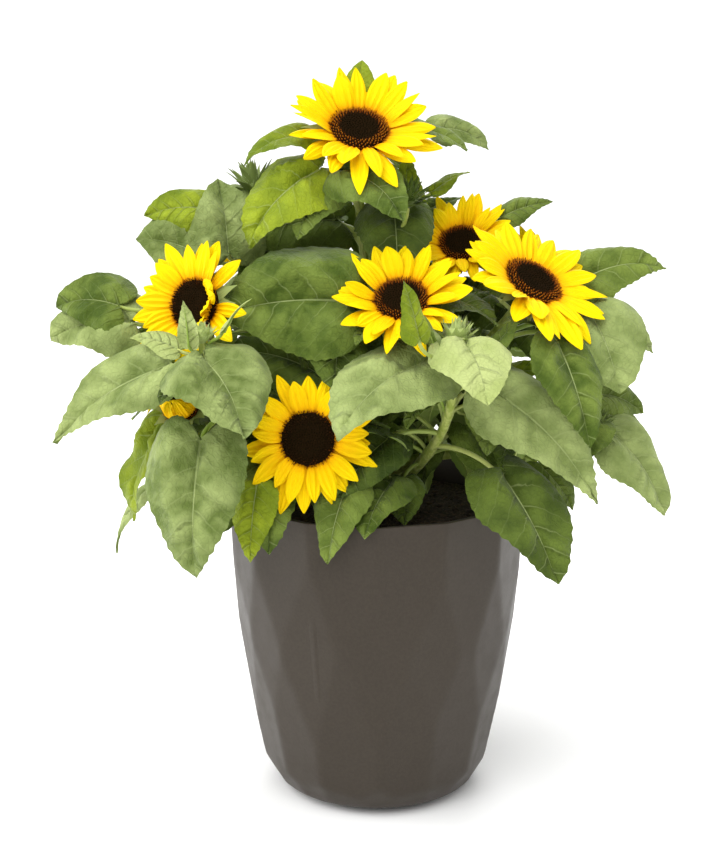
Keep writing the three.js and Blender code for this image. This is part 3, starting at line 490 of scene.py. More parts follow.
# Each shoot: the height where its stem leaves the main stem and its turn and rise there, the place, turn and
# rise of its bloom or bud, and how long the neck is that swings into that. Then its twigs: place on the
# shoot, turn, rise, length and the size of the bud that each carries. A leaf is: place on the shoot, stalk
# turn, rise and length, blade turn, rise, length and width, roll, bend, and the letter of its colour.
SHOOTS = [
    dict(
        name="crown", start=410, leave=(166, 86), tip=(-15, -20, 545),
        face=(-80, 52), neck=40, fill=4,
        bloom=dict(reach=64, disc=23, cup=18, tilt=3, ripe=1.15),
        twigs=[(0.2, -50, 46, 72, 6), (0.62, -108, 12, 42, 3.2)],
        leaves=[
            (0.72, -155, 40, 44, -155, -15, 70, 42, -25, 55, "l"),
            (0.55, -136, 30, 50, -145, -40, 88, 66, -35, 50, "l"),
            (0.45, -125, 38, 50, -127, -43, 62, 44, -20, 50, "m"),
            (0.62, -103, 16, 54, -40, -27, 74, 54, 30, 60, "m"),
            (0.7, 10, 27, 72, 8, -20, 50, 34, 45, 70, "p"),
            (0.5, 18, 10, 62, 22, 27, 38, 22, 20, 20, "l"),
            (0.84, 88, 66, 50, 62, 74, 29, 27, 0, 10, "l"),
            (0.25, 170, 45, 36, -165, -13, 80, 66, -60, 40, "d"),
        ],
    ),
    dict(
        name="front", start=250, leave=(-38, 42), tip=(58, -115, 392),
        face=(-90, 82), neck=60, fill=2, bud=7,
        leaves=[
            (0.93, -68, 45, 26, -76, -35, 64, 60, 0, 60, "y"),
            (0.98, -165, 30, 18, -150, 49, 38, 30, 0, 30, "p"),
            (0.78, -156, 44, 36, -138, -26, 100, 84, -25, 45, "p"),
            (0.87, -127, 39, 62, 132, 68, 43, 28, 0, 20, "l"),
            (0.83, 20, 38, 40, 5, 48, 36, 24, 20, 20, "m"),
            (0.52, -36, 45, 56, -18, -45, 124, 70, 45, 40, "p"),
            (0.4, -46, -10, 74, -51, -52, 92, 74, 12, 40, "d"),
            (0.66, 20, 5, 30, -80, -62, 40, 32, 0, 30, "m"),
            (0.5, -162, -2, 44, -140, -40, 62, 54, -20, 40, "d"),
            (0.25, -112, -10, 36, -88, -43, 42, 34, 0, 40, "d"),
            (0.22, 4, 35, 54, -47, -51, 58, 48, 0, 40, "m"),
        ],
    ),
    dict(
        name="centre", start=326, leave=(-70, 52), tip=(18, -84, 422),
        face=(-95, 52), neck=45, fill=4,
        bloom=dict(reach=56, disc=21, cup=18, tilt=0),
        leaves=[
            (0.45, -135, 42, 78, -175, -8, 96, 96, -62, 30, "m"),
            (0.3, -126, 38, 84, -110, -56, 64, 64, -10, 40, "d"),
            (0.26, -140, 6, 66, 178, 16, 84, 60, -50, 40, "m"),
        ],
    ),
    dict(
        name="right", start=296, leave=(-25, 45), tip=(117, -62, 432),
        face=(-49, 53), neck=60, fill=2,
        bloom=dict(reach=66, disc=23, cup=9, tilt=0),
        twigs=[(0.6, -118, 51, 46, 5)],
        leaves=[
            (0.8, 8, 22, 56, 8, 14, 84, 50, 50, 50, "m"),
            (0.68, -22, 15, 84, -66, -52, 72, 80, 10, 45, "p"),
            (0.6, -13, 18, 86, 10, -26, 70, 44, 50, 50, "p"),
            (0.45, -37, 21, 96, -63, -60, 86, 56, 0, 40, "m"),
            (0.35, -42, 13, 58, -22, 14, 44, 26, 45, 30, "l"),
        ],
    ),
    dict(
        name="right_low", start=268, leave=(-4, 34), tip=(164, -70, 317),
        face=(-30, 50), neck=50, fill=2, bud=6,
        leaves=[
            (0.82, -3, 17, 42, -19, -57, 76, 60, 30, 45, "p"),
            (0.9, -50, 51, 26, -110, -43, 40, 40, 0, 40, "m"),
            (0.7, 19, 20, 68, 21, -35, 42, 34, 40, 40, "m"),
            (0.5, -41, -5, 42, -33, -48, 44, 36, 15, 30, "m"),
            (0.76, 24, 51, 56, 18, -23, 52, 42, 40, 50, "m"),
        ],
    ),
    dict(
        name="back_right", start=350, leave=(20, 60), tip=(69, 11, 453),
        face=(-97, 50), neck=45, fill=3,
        bloom=dict(reach=48, disc=19, cup=20, tilt=0),
        leaves=[
            (0.5, -133, 59, 62, 82, 80, 76, 42, 0, 20, "l"),
            (0.68, -144, 70, 63, 20, 13, 36, 24, 30, 20, "m"),
            (0.75, -11, 51, 60, 16, 16, 46, 28, 40, 30, "m"),
        ],
    ),
    dict(
        name="left", start=300, leave=(-160, 50), tip=(-137, -79, 420),
        face=(-118, 16), neck=65, fill=2,
        bloom=dict(reach=54, disc=20, cup=16, tilt=-16, curled=(-5, 48), ripe=0.5),
        leaves=[
            (0.76, -170, 9, 92, 172, -4, 52, 52, -50, 50, "m"),
            (0.66, -165, 6, 98, -168, -12, 66, 58, -50, 50, "p"),
            (0.56, -165, 3, 88, -160, -38, 58, 48, -40, 50, "m"),
        ],
    ),
    dict(
        name="left_low", start=278, leave=(-145, 36), tip=(-130, -124, 396),
        face=(-100, 82), neck=70, fill=2, bud=5,
        leaves=[
            (0.99, -30, 40, 24, -12, 50, 34, 16, 0, 30, "y"),
            (0.9, -90, 30, 22, -55, -40, 76, 82, 15, 55, "p"),
            (0.78, -161, 32, 42, 172, -34, 114, 64, -50, 40, "p"),
            (0.6, -123, -10, 62, -100, -67, 104, 80, 0, 35, "p"),
            (0.965, -136, 35, 16, -110, 74, 38, 18, 0, 10, "y"),
            (0.94, 175, 25, 22, 176, 17, 38, 24, -40, 30, "y"),
        ],
    ),
    dict(
        name="front_left", start=262, leave=(-108, 22), tip=(-53, -101, 321),
        face=(-90, 13), neck=50, fill=3,
        bloom=dict(reach=54, disc=21, cup=5, tilt=0, ripe=0.5, gold=0.2),
        leaves=[
            (0.3, -60, 0, 44, -115, -31, 60, 48, 0, 40, "m"),
            (0.42, -91, -5, 66, -112, -46, 66, 46, 0, 50, "m"),
            (0.6, -138, 4, 78, -75, -48, 92, 64, 0, 40, "m"),
            (0.5, -134, -5, 92, -113, -62, 58, 38, 0, 30, "l"),
        ],
    ),
    dict(
        name="crown_left", start=385, leave=(165, 50), tip=(-97, 30, 490),
        face=(150, 72), neck=45, fill=4, bud=8,
        leaves=[
            (0.55, -159, 30, 88, 165, -9, 50, 40, -50, 40, "l"),
            (0.78, -121, -9, 64, 108, 60, 60, 62, 0, 30, "p"),
            (0.42, -158, 12, 97, -168, 13, 54, 68, -50, 40, "p"),
            (0.3, -151, -3, 62, 142, 63, 46, 44, 0, 30, "m"),
        ],
    ),
    dict(
        name="left_under", start=253, leave=(-178, 25), tip=(-150, -72, 340),
        face=(-115, 35), neck=50, fill=3,
        bloom=dict(reach=38, disc=15, cup=30, tilt=0, curled=(90, 181), gold=0.3),
        leaves=[
            (0.75, -162, 13, 40, -157, -64, 88, 62, 0, 30, "l"),
            (0.6, 175, -30, 92, -154, -57, 58, 32, 0, 30, "p"),
            (0.35, -123, -8, 88, -134, -49, 54, 44, 0, 40, "m"),
        ],
    ),
    dict(
        name="back_left", start=322, leave=(140, 52), tip=(-92, 100, 452),
        face=(118, 42), neck=55, fill=9,
        bloom=dict(reach=56, disc=21, cup=14, tilt=4), leaves=[],
    ),
    dict(
        name="back", start=284, leave=(85, 42), tip=(28, 150, 395),
        face=(85, 28), neck=60, fill=9,
        bloom=dict(reach=58, disc=22, cup=12, tilt=0), leaves=[],
    ),
    dict(
        name="right_back", start=252, leave=(50, 42), tip=(135, 95, 412),
        face=(40, 40), neck=60, fill=9,
        bloom=dict(reach=54, disc=20, cup=14, tilt=0), leaves=[],
    ),
    dict(
        name="left_back", start=270, leave=(140, 40), tip=(-158, 62, 340),
        face=(160, 30), neck=55, fill=8,
        bloom=dict(reach=52, disc=19, cup=10, tilt=0), leaves=[],
    ),
    dict(
        name="inner", start=308, leave=(55, 62), tip=(32, 62, 402),
        face=(70, 75), neck=30, fill=8, bud=5,
        leaves=[],
    ),
]


def heading(turn, rise):
    """The unit vector at a turn about +Z and a rise above the level, or one for each of several."""
    t, r = np.radians(turn), np.radians(rise)
    return np.stack([np.cos(r) * np.cos(t), np.cos(r) * np.sin(t), np.sin(r) + 0 * t], axis=-1)


class Bend:
    """A cubic curve that leaves its first point towards the second and reaches the fourth from the third."""

    def __init__(self, *points):
        self.points = np.array(points, float)

    def place(self, share):
        """The point at a share of the way along, or one for each of several shares."""
        s = np.asarray(share, float)[..., None]
        a, b, c, d = self.points
        return (1 - s) ** 3 * a + 3 * (1 - s) ** 2 * s * b + 3 * (1 - s) * s * s * c + s**3 * d

    def along(self, share):
        """The unit vector along the curve at a share of the way, or one for each of several shares."""
        s = np.asarray(share, float)[..., None]
        a, b, c, d = self.points
        way = (1 - s) ** 2 * (b - a) + 2 * (1 - s) * s * (c - b) + s * s * (d - c)
        return way / np.linalg.norm(way, axis=-1, keepdims=True)

    def length(self):
        """The length of the curve, from many short steps."""
        return np.linalg.norm(np.diff(self.place(np.linspace(0, 1, 200)), axis=0), axis=1).sum()


def rings_along(centres, along, radii, sides):
    """Rings of points round a line, carried along it without a twist. A radius may differ round the ring."""
    angle = np.linspace(0, 2 * np.pi, sides, endpoint=False)[:, None]
    left = np.cross([1, 0, 0] if abs(along[0][2]) > 0.9 else [0, 0, 1], along[0])
    rings = []
    for centre, way, radius in zip(centres, along, radii):
        left = left - way * (left @ way)
        left = left / np.linalg.norm(left)
        spoke = left * np.cos(angle) + np.cross(way, left) * np.sin(angle)
        rings.append(centre + spoke * np.reshape(radius, (-1, 1)))
    return np.array(rings)


def skin(count, sides):
    """The faces of a closed skin over rings of equal size: quads between rings and a fan at each end."""
    i = np.arange(sides)
    starts = sides * np.arange(count - 1)[:, None]
    a, b = (starts + i).ravel(), (starts + (i + 1) % sides).ravel()
    fan = np.arange(1, sides - 1)
    last = sides * (count - 1)
    low_cap = np.stack([0 * fan, fan + 1, fan], axis=1)
    high_cap = np.stack([0 * fan + last, last + fan, last + fan + 1], axis=1)
    return [np.stack([a, b, b + sides, a + sides], axis=1), low_cap, high_cap]


class Bundle:
    """Many shapes joined into one piece. Each point keeps its spot on its own shape, and its shade."""

    def __init__(self):
        self.points, self.faces, self.spots, self.shades, self.coats = [], [], [], [], []
        self.count = 0

    def add(self, points, faces, spots=None, shade=0.5, coats=None):
        """Takes in a shape, with its faces in groups, each with a coat: the number of one of the finishes."""
        points = np.reshape(points, (-1, 3))
        self.points.append(points)
        self.spots.append(np.zeros((len(points), 2)) if spots is None else np.reshape(spots, (-1, 2)))
        self.shades.append(np.broadcast_to(shade, len(points)))
        for corners, coat in zip(faces, coats or [0] * len(faces)):
            self.faces.append(corners + self.count)
            self.coats.append(np.full(len(corners), coat))
        self.count += len(points)

    def build(self, name, *finishes):
        """Makes the piece, smooth but for its creases, riding on the plant's one body."""
        mesh = bpy.data.meshes.new(name)
        corners = [face for group in self.faces for face in group.tolist()]
        mesh.from_pydata((np.vstack(self.points) * MM).tolist(), [], corners)
        order = np.empty(len(mesh.loops), int)
        mesh.loops.foreach_get("vertex_index", order)
        mesh.uv_layers.new(name="spot").data.foreach_set("uv", np.vstack(self.spots)[order].ravel())
        shade = mesh.attributes.new("shade", "FLOAT", "POINT")
        shade.data.foreach_set("value", np.concatenate(self.shades))
        mesh.polygons.foreach_set("material_index", np.concatenate(self.coats))
        for finish in finishes:
            mesh.materials.append(finish)
        piece = bpy.data.objects.new(name, mesh)
        bpy.context.scene.collection.objects.link(piece)
        bpy.ops.object.select_all(action="DESELECT")
        piece.select_set(True)
        bpy.context.view_layer.objects.active = piece
        bpy.ops.object.shade_smooth_by_angle(angle=math.radians(CREASE))
        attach(piece, "root")
        return piece


trunk = Bend(*TRUNK_LINE)


def trunk_radius(share):
    """The main stem tapers upward and flares into the soil."""
    rise = trunk.place(share)[2] - SOIL_TOP
    return mix(*TRUNK_RADII, share) + ROOT_FLARE * max(0, 1 - rise / ROOT_FLARE_HEIGHT) ** 2


def trunk_share_at(height):
    """The share of the way up the main stem that is at a height."""
    shares = np.linspace(0, 1, 2001)
    return np.interp(height, trunk.place(shares)[:, 2], shares)


def shoot_curve(plan):
    """The line of a side stem and its shoot, from the middle of the main stem to the back of its bloom."""
    first = trunk.place(trunk_share_at(plan["start"]))
    last = np.array(plan["tip"], float)
    reach = np.linalg.norm(last - first)
    return Bend(
        first,
        first + CURVE_START * reach * heading(*plan["leave"]),
        last - plan["neck"] * heading(*plan["face"]),
        last,
    )


def shoot_radius(share):
    """A side stem tapers quickly out of the main stem and then slowly to its neck."""
    if share < BOUGH_SHARE:
        return mix(BOUGH_RADIUS, SHOOT_RADIUS, share / BOUGH_SHARE)
    return mix(SHOOT_RADIUS, NECK_RADIUS, (share - BOUGH_SHARE) / (1 - BOUGH_SHARE))


def ribbed(radius, shares, sides, draw):
    """Radii round each ring of a stem, with its ribs and with knots where leaves once were."""
    angle = np.linspace(0, 2 * np.pi, sides, endpoint=False)
    ribs = 1 + RIB_HEIGHT * np.cos(STEM_RIBS * angle + 6 * draw())
    knots = ((k + draw()) / KNOTS for k in range(KNOTS))
    swelling = sum(KNOT_HEIGHT * np.exp(-(((shares - knot) / KNOT_LENGTH) ** 2)) for knot in knots)
    return np.array([radius(s) for s in shares])[:, None] * (1 + swelling[:, None]) * ribs


def add_tube(bundle, line, ways, radii, sides, shade=0.5):
    """Adds a closed tube round a line to a bundle."""
    bundle.add(rings_along(line, ways, radii, sides), skin(len(line), sides), shade=shade)


def stem_finish(name, woody):
    """Green ribbed stem, paler where its down catches the light, and browner towards the soil."""
    material, tree, shader = new_finish(name, roughness=0.55, gloss=0.25, down=0.12)
    place = object_place(tree)
    streaked = add_node(tree, "ShaderNodeMapping", {"Vector": place, "Scale": (1, 1, 0.18)})
    streak = ramp(tree, noise(tree, streaked.outputs["Vector"], scale=260, detail=4), 0.35, 0.7)
    green = blend(tree, streak, STEM_COLOUR, STEM_PALE)
    height = add_node(tree, "ShaderNodeSeparateXYZ", {"Vector": place}).outputs["Z"]
    bark = ramp(tree, height, 0.3, 0.24, 0, woody)
    paint(tree, shader, blend(tree, bark, green, STEM_WOODY))
    shader.inputs["Sheen Roughness"].default_value = 0.4
    emboss(tree, shader, streak, depth=0.0006, strength=0.6)
    return material


draw = seeded(STEM_SEED)
stems = Bundle()
shares = np.linspace(0, 1, TRUNK_RINGS)
radii = ribbed(trunk_radius, shares, TRUNK_SIDES, draw)
add_tube(stems, trunk.place(shares), trunk.along(shares), radii, TRUNK_SIDES)
curves = {plan["name"]: shoot_curve(plan) for plan in SHOOTS}
for plan in SHOOTS[1:]:
    curve = curves[plan["name"]]
    shares = np.linspace(0.01, BOUGH_SHARE, BOUGH_RINGS)
    radii = ribbed(shoot_radius, shares, STEM_SIDES, draw)
    add_tube(stems, curve.place(shares), curve.along(shares), radii, STEM_SIDES)
stem_piece = stems.build("main_and_side_stems", stem_finish("ribbed_stem", woody=0.75))
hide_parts("main_stem", *[f"side_stem_{plan['name']}" for plan in SHOOTS[1:]])


# Shoot stems, twigs and buds. The stems go on from the side stems to the blooms, and a few carry a thin twig
# with a bud of its own. A bud is a green knob closed in rows of narrow pointed bracts, with long pale hairs.
SHOOT_RINGS = 40
TWIG_RADIUS = 1.8
TWIG_RINGS = 14
TWIG_SIDES = 10
TWIG_BOW = 15
TWIG_BUD_RISE = 75
BUD_PROFILE = [(0.35, -0.4), (0.85, 0), (1, 0.5), (0.85, 1.1), (0.5, 1.45), (0.15, 1.55)]
BUD_SIDES = 14
BUD_ROWS = [
    (11, 0.85, 0.1, 20, 2.5), (10, 0.8, 0.5, 48, 2.3), (8, 0.6, 0.9, 78, 2.0), (6, 0.35, 1.2, 95, 1.6),
]
BRACT_PROFILE = [(0, 0.7), (0.12, 0.95), (0.3, 1), (0.5, 0.78), (0.75, 0.36), (0.92, 0.12), (1, 0.03)]
BRACT_GRID = (7, 5)
BRACT_WIDTH = 0.75
BRACT_THICKNESS = 0.3
MARGIN_MEAN = 0.35
MIDDLE_GROOVE = 0.09
BUD_HAIRS = 110
HAIR_RADIUS = 0.09
HAIR_CORNERS = (0, 2.094, 4.189)
YOUNG_BUDS = ("front", "left_low")
OLD_BUD_PALENESS = 0.25
BUD_SWELL = 1.22
BUD_NECK = 6
SHUT_LEAN = 24
SHUT_LENGTH = 0.72
BUD_COLOUR = (0.06, 0.095, 0.010)
BUD_PALE = (0.46, 0.55, 0.19)
HAIR_COLOUR = (0.75, 0.8, 0.6)


def face_axes(face):
    """The axes of a bloom or bud: to its right, up its face and out of it."""
    out, right = heading(*face), heading(face[0] + 90, 0)
    return right, np.cross(out, right), out


def face_spoke(axes, angle):
    """The direction across the face of a bloom or bud at an angle, or one for each of a column of angles."""
    return axes[0] * np.cos(angle) + axes[1] * np.sin(angle)


def petal_grid(
    axes, centre, angle, root, span, lean, width, profile, size, arch=0, cup=0, twist=0, sway=0, droop=0
):
    """The points of a petal or bract, in rows from its root to its tip, their spots on it, and which way its
    face looks at each. The root is a radius and height on the bloom. The petal leans out of the bloom's
    plane, and an arch lifts its root and drops its tip. A cup raises its margins, a sway carries its tip
    aside, and a droop pulls it down."""
    rows, columns = size
    s = np.linspace(0, 1, rows)
    c = np.linspace(-1, 1, columns)
    out, spoke = axes[2], face_spoke(axes, angle)
    side = np.cross(out, spoke)
    pitch = np.radians(lean + arch * (0.5 - (s[1:] + s[:-1]) / 2))[:, None]
    steps = span / (rows - 1) * (np.cos(pitch) * spoke + np.sin(pitch) * out)
    line = np.vstack([np.zeros(3), np.cumsum(steps, axis=0)]) + sway * span * (s**2)[:, None] * side
    pitch = np.radians(lean + arch * (0.5 - s))[:, None]
    proud = np.cos(pitch) * out - np.sin(pitch) * spoke
    roll = np.radians(twist * s)[:, None]
    across = side * np.cos(roll) + proud * np.sin(roll)
    proud = proud * np.cos(roll) - side * np.sin(roll)
    half = width / 2 * np.interp(s, *np.transpose(profile))[:, None]
    lift = half * (cup * (c**2 - MARGIN_MEAN) + MIDDLE_GROOVE * np.cos(3 * np.pi * c))
    points = (
        (centre + root[0] * spoke + root[1] * out + line)[:, None]
        + (half * c)[..., None] * across[:, None]
        + lift[..., None] * proud[:, None]
    )
    points[..., 2] -= droop * ((s * span) ** 2)[:, None]
    spots = np.stack(np.broadcast_arrays(c / 2, s[:, None]), axis=-1)
    return points, spots, np.broadcast_to(proud[:, None], points.shape)


def leaflet(bundle, points, spots, proud, thickness, shade, coats=(0, 0)):
    """Adds a thin closed leaf or petal: its face, and its back a little below, joined at the margin."""
    rows, columns = points.shape[:2]
    inside = (slice(1, -1), slice(1, -1))
    face = np.arange(rows * columns).reshape(rows, columns)
    back = face.copy()
    back[inside] = rows * columns + np.arange((rows - 2) * (columns - 2)).reshape(rows - 2, columns - 2)
    top, bottom = (
        np.stack([grid[:-1, :-1], grid[:-1, 1:], grid[1:, 1:], grid[1:, :-1]], axis=-1).reshape(-1, 4)
        for grid in (face, back)
    )
    below = points[inside] - thickness * proud[inside]
    shade = np.broadcast_to(shade, (rows, columns))
    bundle.add(
        np.vstack([points.reshape(-1, 3), below.reshape(-1, 3)]),
        [top, bottom[:, [0, 3, 2, 1]]],
        np.vstack([spots.reshape(-1, 2), spots[inside].reshape(-1, 2)]),
        np.concatenate([shade.ravel(), shade[inside].ravel()]),
        coats,
    )


def add_hair(bundle, root, way, length):
    """A fine pointed hair that stands on a skin."""
    side = np.cross(way, [0.3, 0.2, 0.9])
    side /= np.linalg.norm(side)
    over = np.cross(way, side)
    foot = [root + HAIR_RADIUS * (side * math.cos(a) + over * math.sin(a)) for a in HAIR_CORNERS]
    bundle.add([*foot, root + length * way], [np.array([[0, 1, 3], [1, 2, 3], [2, 0, 3], [2, 1, 0]])])


def add_bud(knobs, bracts, hairs, tip, face, radius, pale, draw):
    """A bud: its knob, its rows of bracts and their hairs. A pale young one has shorter bracts, still
    shut."""
    radius = BUD_SWELL * radius
    axes = face_axes(face)
    out = axes[2]
    angle = np.linspace(0, 2 * np.pi, BUD_SIDES, endpoint=False)[:, None]
    rings = [tip + radius * (r * face_spoke(axes, angle) + h * out) for r, h in BUD_PROFILE]
    knobs.add(np.array(rings), skin(len(rings), BUD_SIDES), shade=pale)
    for count, start, height, lean, length in BUD_ROWS:
        for k in range(count):
            bract = petal_grid(
                axes, tip, 2 * math.pi * (k + 0.5 * draw()) / count, (start * radius, height * radius),
                length * radius * mix(1, SHUT_LENGTH, pale) * (0.85 + 0.3 * draw()),
                lean + SHUT_LEAN * pale + 16 * (draw() - 0.5), BRACT_WIDTH * radius,
                BRACT_PROFILE, BRACT_GRID, arch=30, cup=0.5, twist=20 * (draw() - 0.5),
            )
            leaflet(bracts, *bract, BRACT_THICKNESS, pale)
    for _ in range(BUD_HAIRS):
        a, lift = 2 * math.pi * draw(), math.radians(75 * draw())
        way = face_spoke(axes, a) * math.cos(lift) + out * math.sin(lift)
        add_hair(hairs, tip + radius * (0.95 * way + 0.5 * out), way, radius * (0.5 + 0.8 * draw()))


def twig_curve(node, length, turn, rise):
    """A twig leaves its shoot a little lower than it rises, and bends upward to its bud."""
    tip = node + length * heading(turn, rise)
    return Bend(node, node + 0.4 * length * heading(turn, rise - TWIG_BOW), tip - [0, 0, 0.35 * length], tip)


knobs, bracts, hairs, shoots = Bundle(), Bundle(), Bundle(), Bundle()
for plan in SHOOTS:
    curve = curves[plan["name"]]
    begin = 0 if plan["name"] == "crown" else BOUGH_SHARE
    shares = np.linspace(begin, 1, SHOOT_RINGS)
    radii = ribbed(shoot_radius, shares, STEM_SIDES, draw)
    line, ways = curve.place(shares), curve.along(shares)
    if "bud" in plan:
        pale = 1.0 if plan["name"] in YOUNG_BUDS else OLD_BUD_PALENESS
        tip = line[-1] + BUD_NECK * ways[-1]
        line, ways = np.vstack([line, tip]), np.vstack([ways, ways[-1]])
        radii = np.vstack([radii, radii[-1]])
        add_bud(knobs, bracts, hairs, tip, plan["face"], plan["bud"], pale, draw)
    add_tube(shoots, line, ways, radii, STEM_SIDES)
    for at, turn, rise, length, radius in plan.get("twigs", []):
        twig = twig_curve(curve.place(at), length, turn, rise)
        shares = np.linspace(0, 1, TWIG_RINGS)
        line, ways = twig.place(shares), twig.along(shares)
        add_tube(shoots, line, ways, np.full(TWIG_RINGS, TWIG_RADIUS), TWIG_SIDES)
        add_bud(knobs, bracts, hairs, line[-1], (turn, TWIG_BUD_RISE), radius, 0.0, draw)


# Leaves. Heart-shaped green blades on curved stalks, toothed along the margin, quilted between their veins
# and soft with down. Each is held on its shoot by its stalk, and rises from it before it bends down to its
# tip. The coarse form here is that of the solid leaves, and is used to find each leaf its place.
NARROW_OUTLINE = [
    (0, 0), (-0.04, 0.1), (-0.06, 0.24), (0, 0.38), (0.14, 0.47),
    (0.32, 0.46), (0.5, 0.375), (0.67, 0.25), (0.83, 0.12), (1, 0),
]
BROAD_OUTLINE = [
    (0, 0), (-0.07, 0.1), (-0.11, 0.26), (-0.02, 0.42), (0.14, 0.495),
    (0.34, 0.495), (0.54, 0.43), (0.73, 0.315), (0.89, 0.165), (1, 0),
]
LOBED_NARROW_OUTLINE = [
    (0, 0), (-0.04, 0.06), (-0.07, 0.16), (-0.05, 0.29), (0.05, 0.41), (0.2, 0.47),
    (0.39, 0.43), (0.58, 0.31), (0.77, 0.165), (0.9, 0.065), (1, 0),
]
LOBED_BROAD_OUTLINE = [
    (0, 0), (-0.09, 0.055), (-0.17, 0.15), (-0.185, 0.28), (-0.11, 0.405), (0.04, 0.485),
    (0.24, 0.5), (0.46, 0.435), (0.68, 0.31), (0.86, 0.175), (1, 0),
]
NARROW_SHARE = 0.52
BROAD_SHARE = 0.82
COARSE_ROWS = [(75, (0.2, 0.42, 0.62, 0.82)), (40, (0.22, 0.5, 0.78)), (0, (0.3, 0.66))]
COARSE_THICKNESS = 2.2
BLADE_STEPS = 24
RIB_PACE = 1.9
LEAF_FOLD = 0.22
LEAF_SAG = 0.34
STALK_RADIUS = 1.7
STALK_FLARE = (1.3, 1)
STALK_ARCH = 22
STEEPEST_STALK = 80
LONG_STALK = 60
LEAF_FIELDS = (
    "at", "stalk_turn", "stalk_rise", "stalk", "turn", "rise", "length", "width", "roll", "bend", "letter",
)


def outline_place(leaf, t, narrow=NARROW_OUTLINE, broad=BROAD_OUTLINE):
    """Places on the outline of half a blade, as shares of its length and width. A blade that is narrow for
    its length tapers to a point, and a broad one stays full almost to its blunt tip."""
    breadth = (leaf["width"] / leaf["length"] - NARROW_SHARE) / (BROAD_SHARE - NARROW_SHARE)
    knots = mix(np.array(narrow), np.array(broad), min(1, max(0, breadth)))
    place = np.clip(np.asarray(t, float), 0, 1) * (len(knots) - 1)
    whole = np.minimum(place.astype(int), len(knots) - 2)
    w = (place - whole)[..., None]
    a = knots[np.maximum(whole - 1, 0)]
    b, c = knots[whole], knots[whole + 1]
    d = knots[np.minimum(whole + 2, len(knots) - 1)]
    return b + 0.5 * w * (c - a + w * (2 * a - 5 * b + 4 * c - d + w * (3 * (b - c) + d - a)))


def blade_line(leaf, base, along):
    """Places on the middle line of a blade, which rises from its stalk and bends down along its length."""
    first_rise = leaf["rise"] + leaf["bend"] / 2
    rises = first_rise - leaf["bend"] * (np.arange(BLADE_STEPS) + 0.5) / BLADE_STEPS
    way = heading(leaf["turn"], rises) * leaf["length"] / BLADE_STEPS
    knots = np.vstack([base, base + np.cumsum(way, axis=0)])
    along = np.asarray(along, float)
    shares = np.linspace(0, 1, BLADE_STEPS + 1)
    inside = np.stack([np.interp(along, shares, knots[:, i]) for i in range(3)], axis=-1)
    behind = np.minimum(along, 0)[..., None] * leaf["length"]
    return inside + behind * heading(leaf["turn"], first_rise)


def blade_axes(leaf, along, twist=0.0):
    """The axes of a blade at places along it: to its left, and out of its face."""
    forward = heading(leaf["turn"], leaf["rise"] + leaf["bend"] / 2 - leaf["bend"] * np.maximum(0, along))
    level = np.broadcast_to(heading(leaf["turn"] + 90, 0), forward.shape)
    over = np.cross(forward, level)
    roll = np.radians(leaf["roll"] + twist * np.asarray(along))[..., None]
    return level * np.cos(roll) + over * np.sin(roll), over * np.cos(roll) - level * np.sin(roll)


def blade_place(leaf, base, along, across, lift, twist=0.0):
    """Points of a blade, folded up from its rib and sagging towards its margins."""
    left, over = blade_axes(leaf, along, twist)
    reach = across * leaf["width"]
    height = LEAF_FOLD * np.abs(reach) - 2 * LEAF_SAG * reach**2 / leaf["width"] + lift
    return blade_line(leaf, base, along) + left * reach[..., None] + over * height[..., None]


def stalk_radius(leaf):
    """A small leaf has a thinner stalk."""
    return min(STALK_RADIUS, 0.6 + leaf["length"] / 60)


def stalk_curve(leaf, node, base):
    """The stalk arches from the middle of the shoot to the blade."""
    lift = heading(leaf["stalk_turn"], min(STEEPEST_STALK, leaf["stalk_rise"] + STALK_ARCH))
    inward = heading(leaf["turn"], leaf["rise"] + leaf["bend"] / 2)
    return Bend(node, node + 0.4 * leaf["stalk"] * lift, base - 0.3 * leaf["stalk"] * inward, base)


def coarse_blade(leaf, base, extra):
    """The blade as a row of thin diamonds from the stalk to the tip, grown by some extra room all round."""
    middle = np.array(next(rows for least, rows in COARSE_ROWS if leaf["length"] >= least))
    edges = np.vstack(
        [[0, stalk_radius(leaf) / leaf["width"]], outline_place(leaf, middle), [1, 0.5 / leaf["width"]]]
    )
    ribs = np.concatenate([[0], middle**RIB_PACE, [1]])
    side = edges[:, 1] + extra / leaf["width"]
    half = np.full(len(ribs), COARSE_THICKNESS / 2 + extra)
    zero = np.zeros(len(ribs))
    along = np.stack([edges[:, 0], ribs, edges[:, 0], ribs], axis=1)
    across = np.stack([side, zero, -side, zero], axis=1)
    return blade_place(leaf, base, along, across, np.stack([zero, half, zero, -half], axis=1))


def coarse_stalk(leaf, node, base, extra):
    """The stalk as a few square rings, grown by some extra room. The blade's first ring closes it."""
    curve = stalk_curve(leaf, node, base)
    steps = 3 if leaf["stalk"] > LONG_STALK else 2
    last, _ = blade_axes(leaf, 0.0)
    rings = []
    for share in np.arange(steps) / steps:
        way = curve.along(share)
        left = mix(heading(leaf["stalk_turn"] + 90, 0), last, share)
        left = left - way * (left @ way)
        left = left / np.linalg.norm(left)
        over = np.cross(way, left)
        radius = mix(*STALK_FLARE, share) * stalk_radius(leaf) + extra
        rings.append(curve.place(share) + radius * np.array([left, over, -left, -over]))
    return np.array(rings)


# Room for the leaves. A real leaf grows past its neighbours, so none cuts into a stem, a bloom or another
# leaf here. Everything that stands already is kept as a skin. Each new leaf is tried where it is wanted, and
# then shifted, tilted and swung a little further each time, and one that finds no room is left out.
SHIFTS = (0, 12, -12, 24, -24, 36, -36)
TILTS = (0, 9, -9, 18, -18)
SWINGS = (0, 12, -12)
CROWN_REACH = 245
BLOOM_VIEW = 0.85
BLOOM_VIEW_DEPTH = 110
STEM_RINGS = 7
STEM_CORNERS = 6


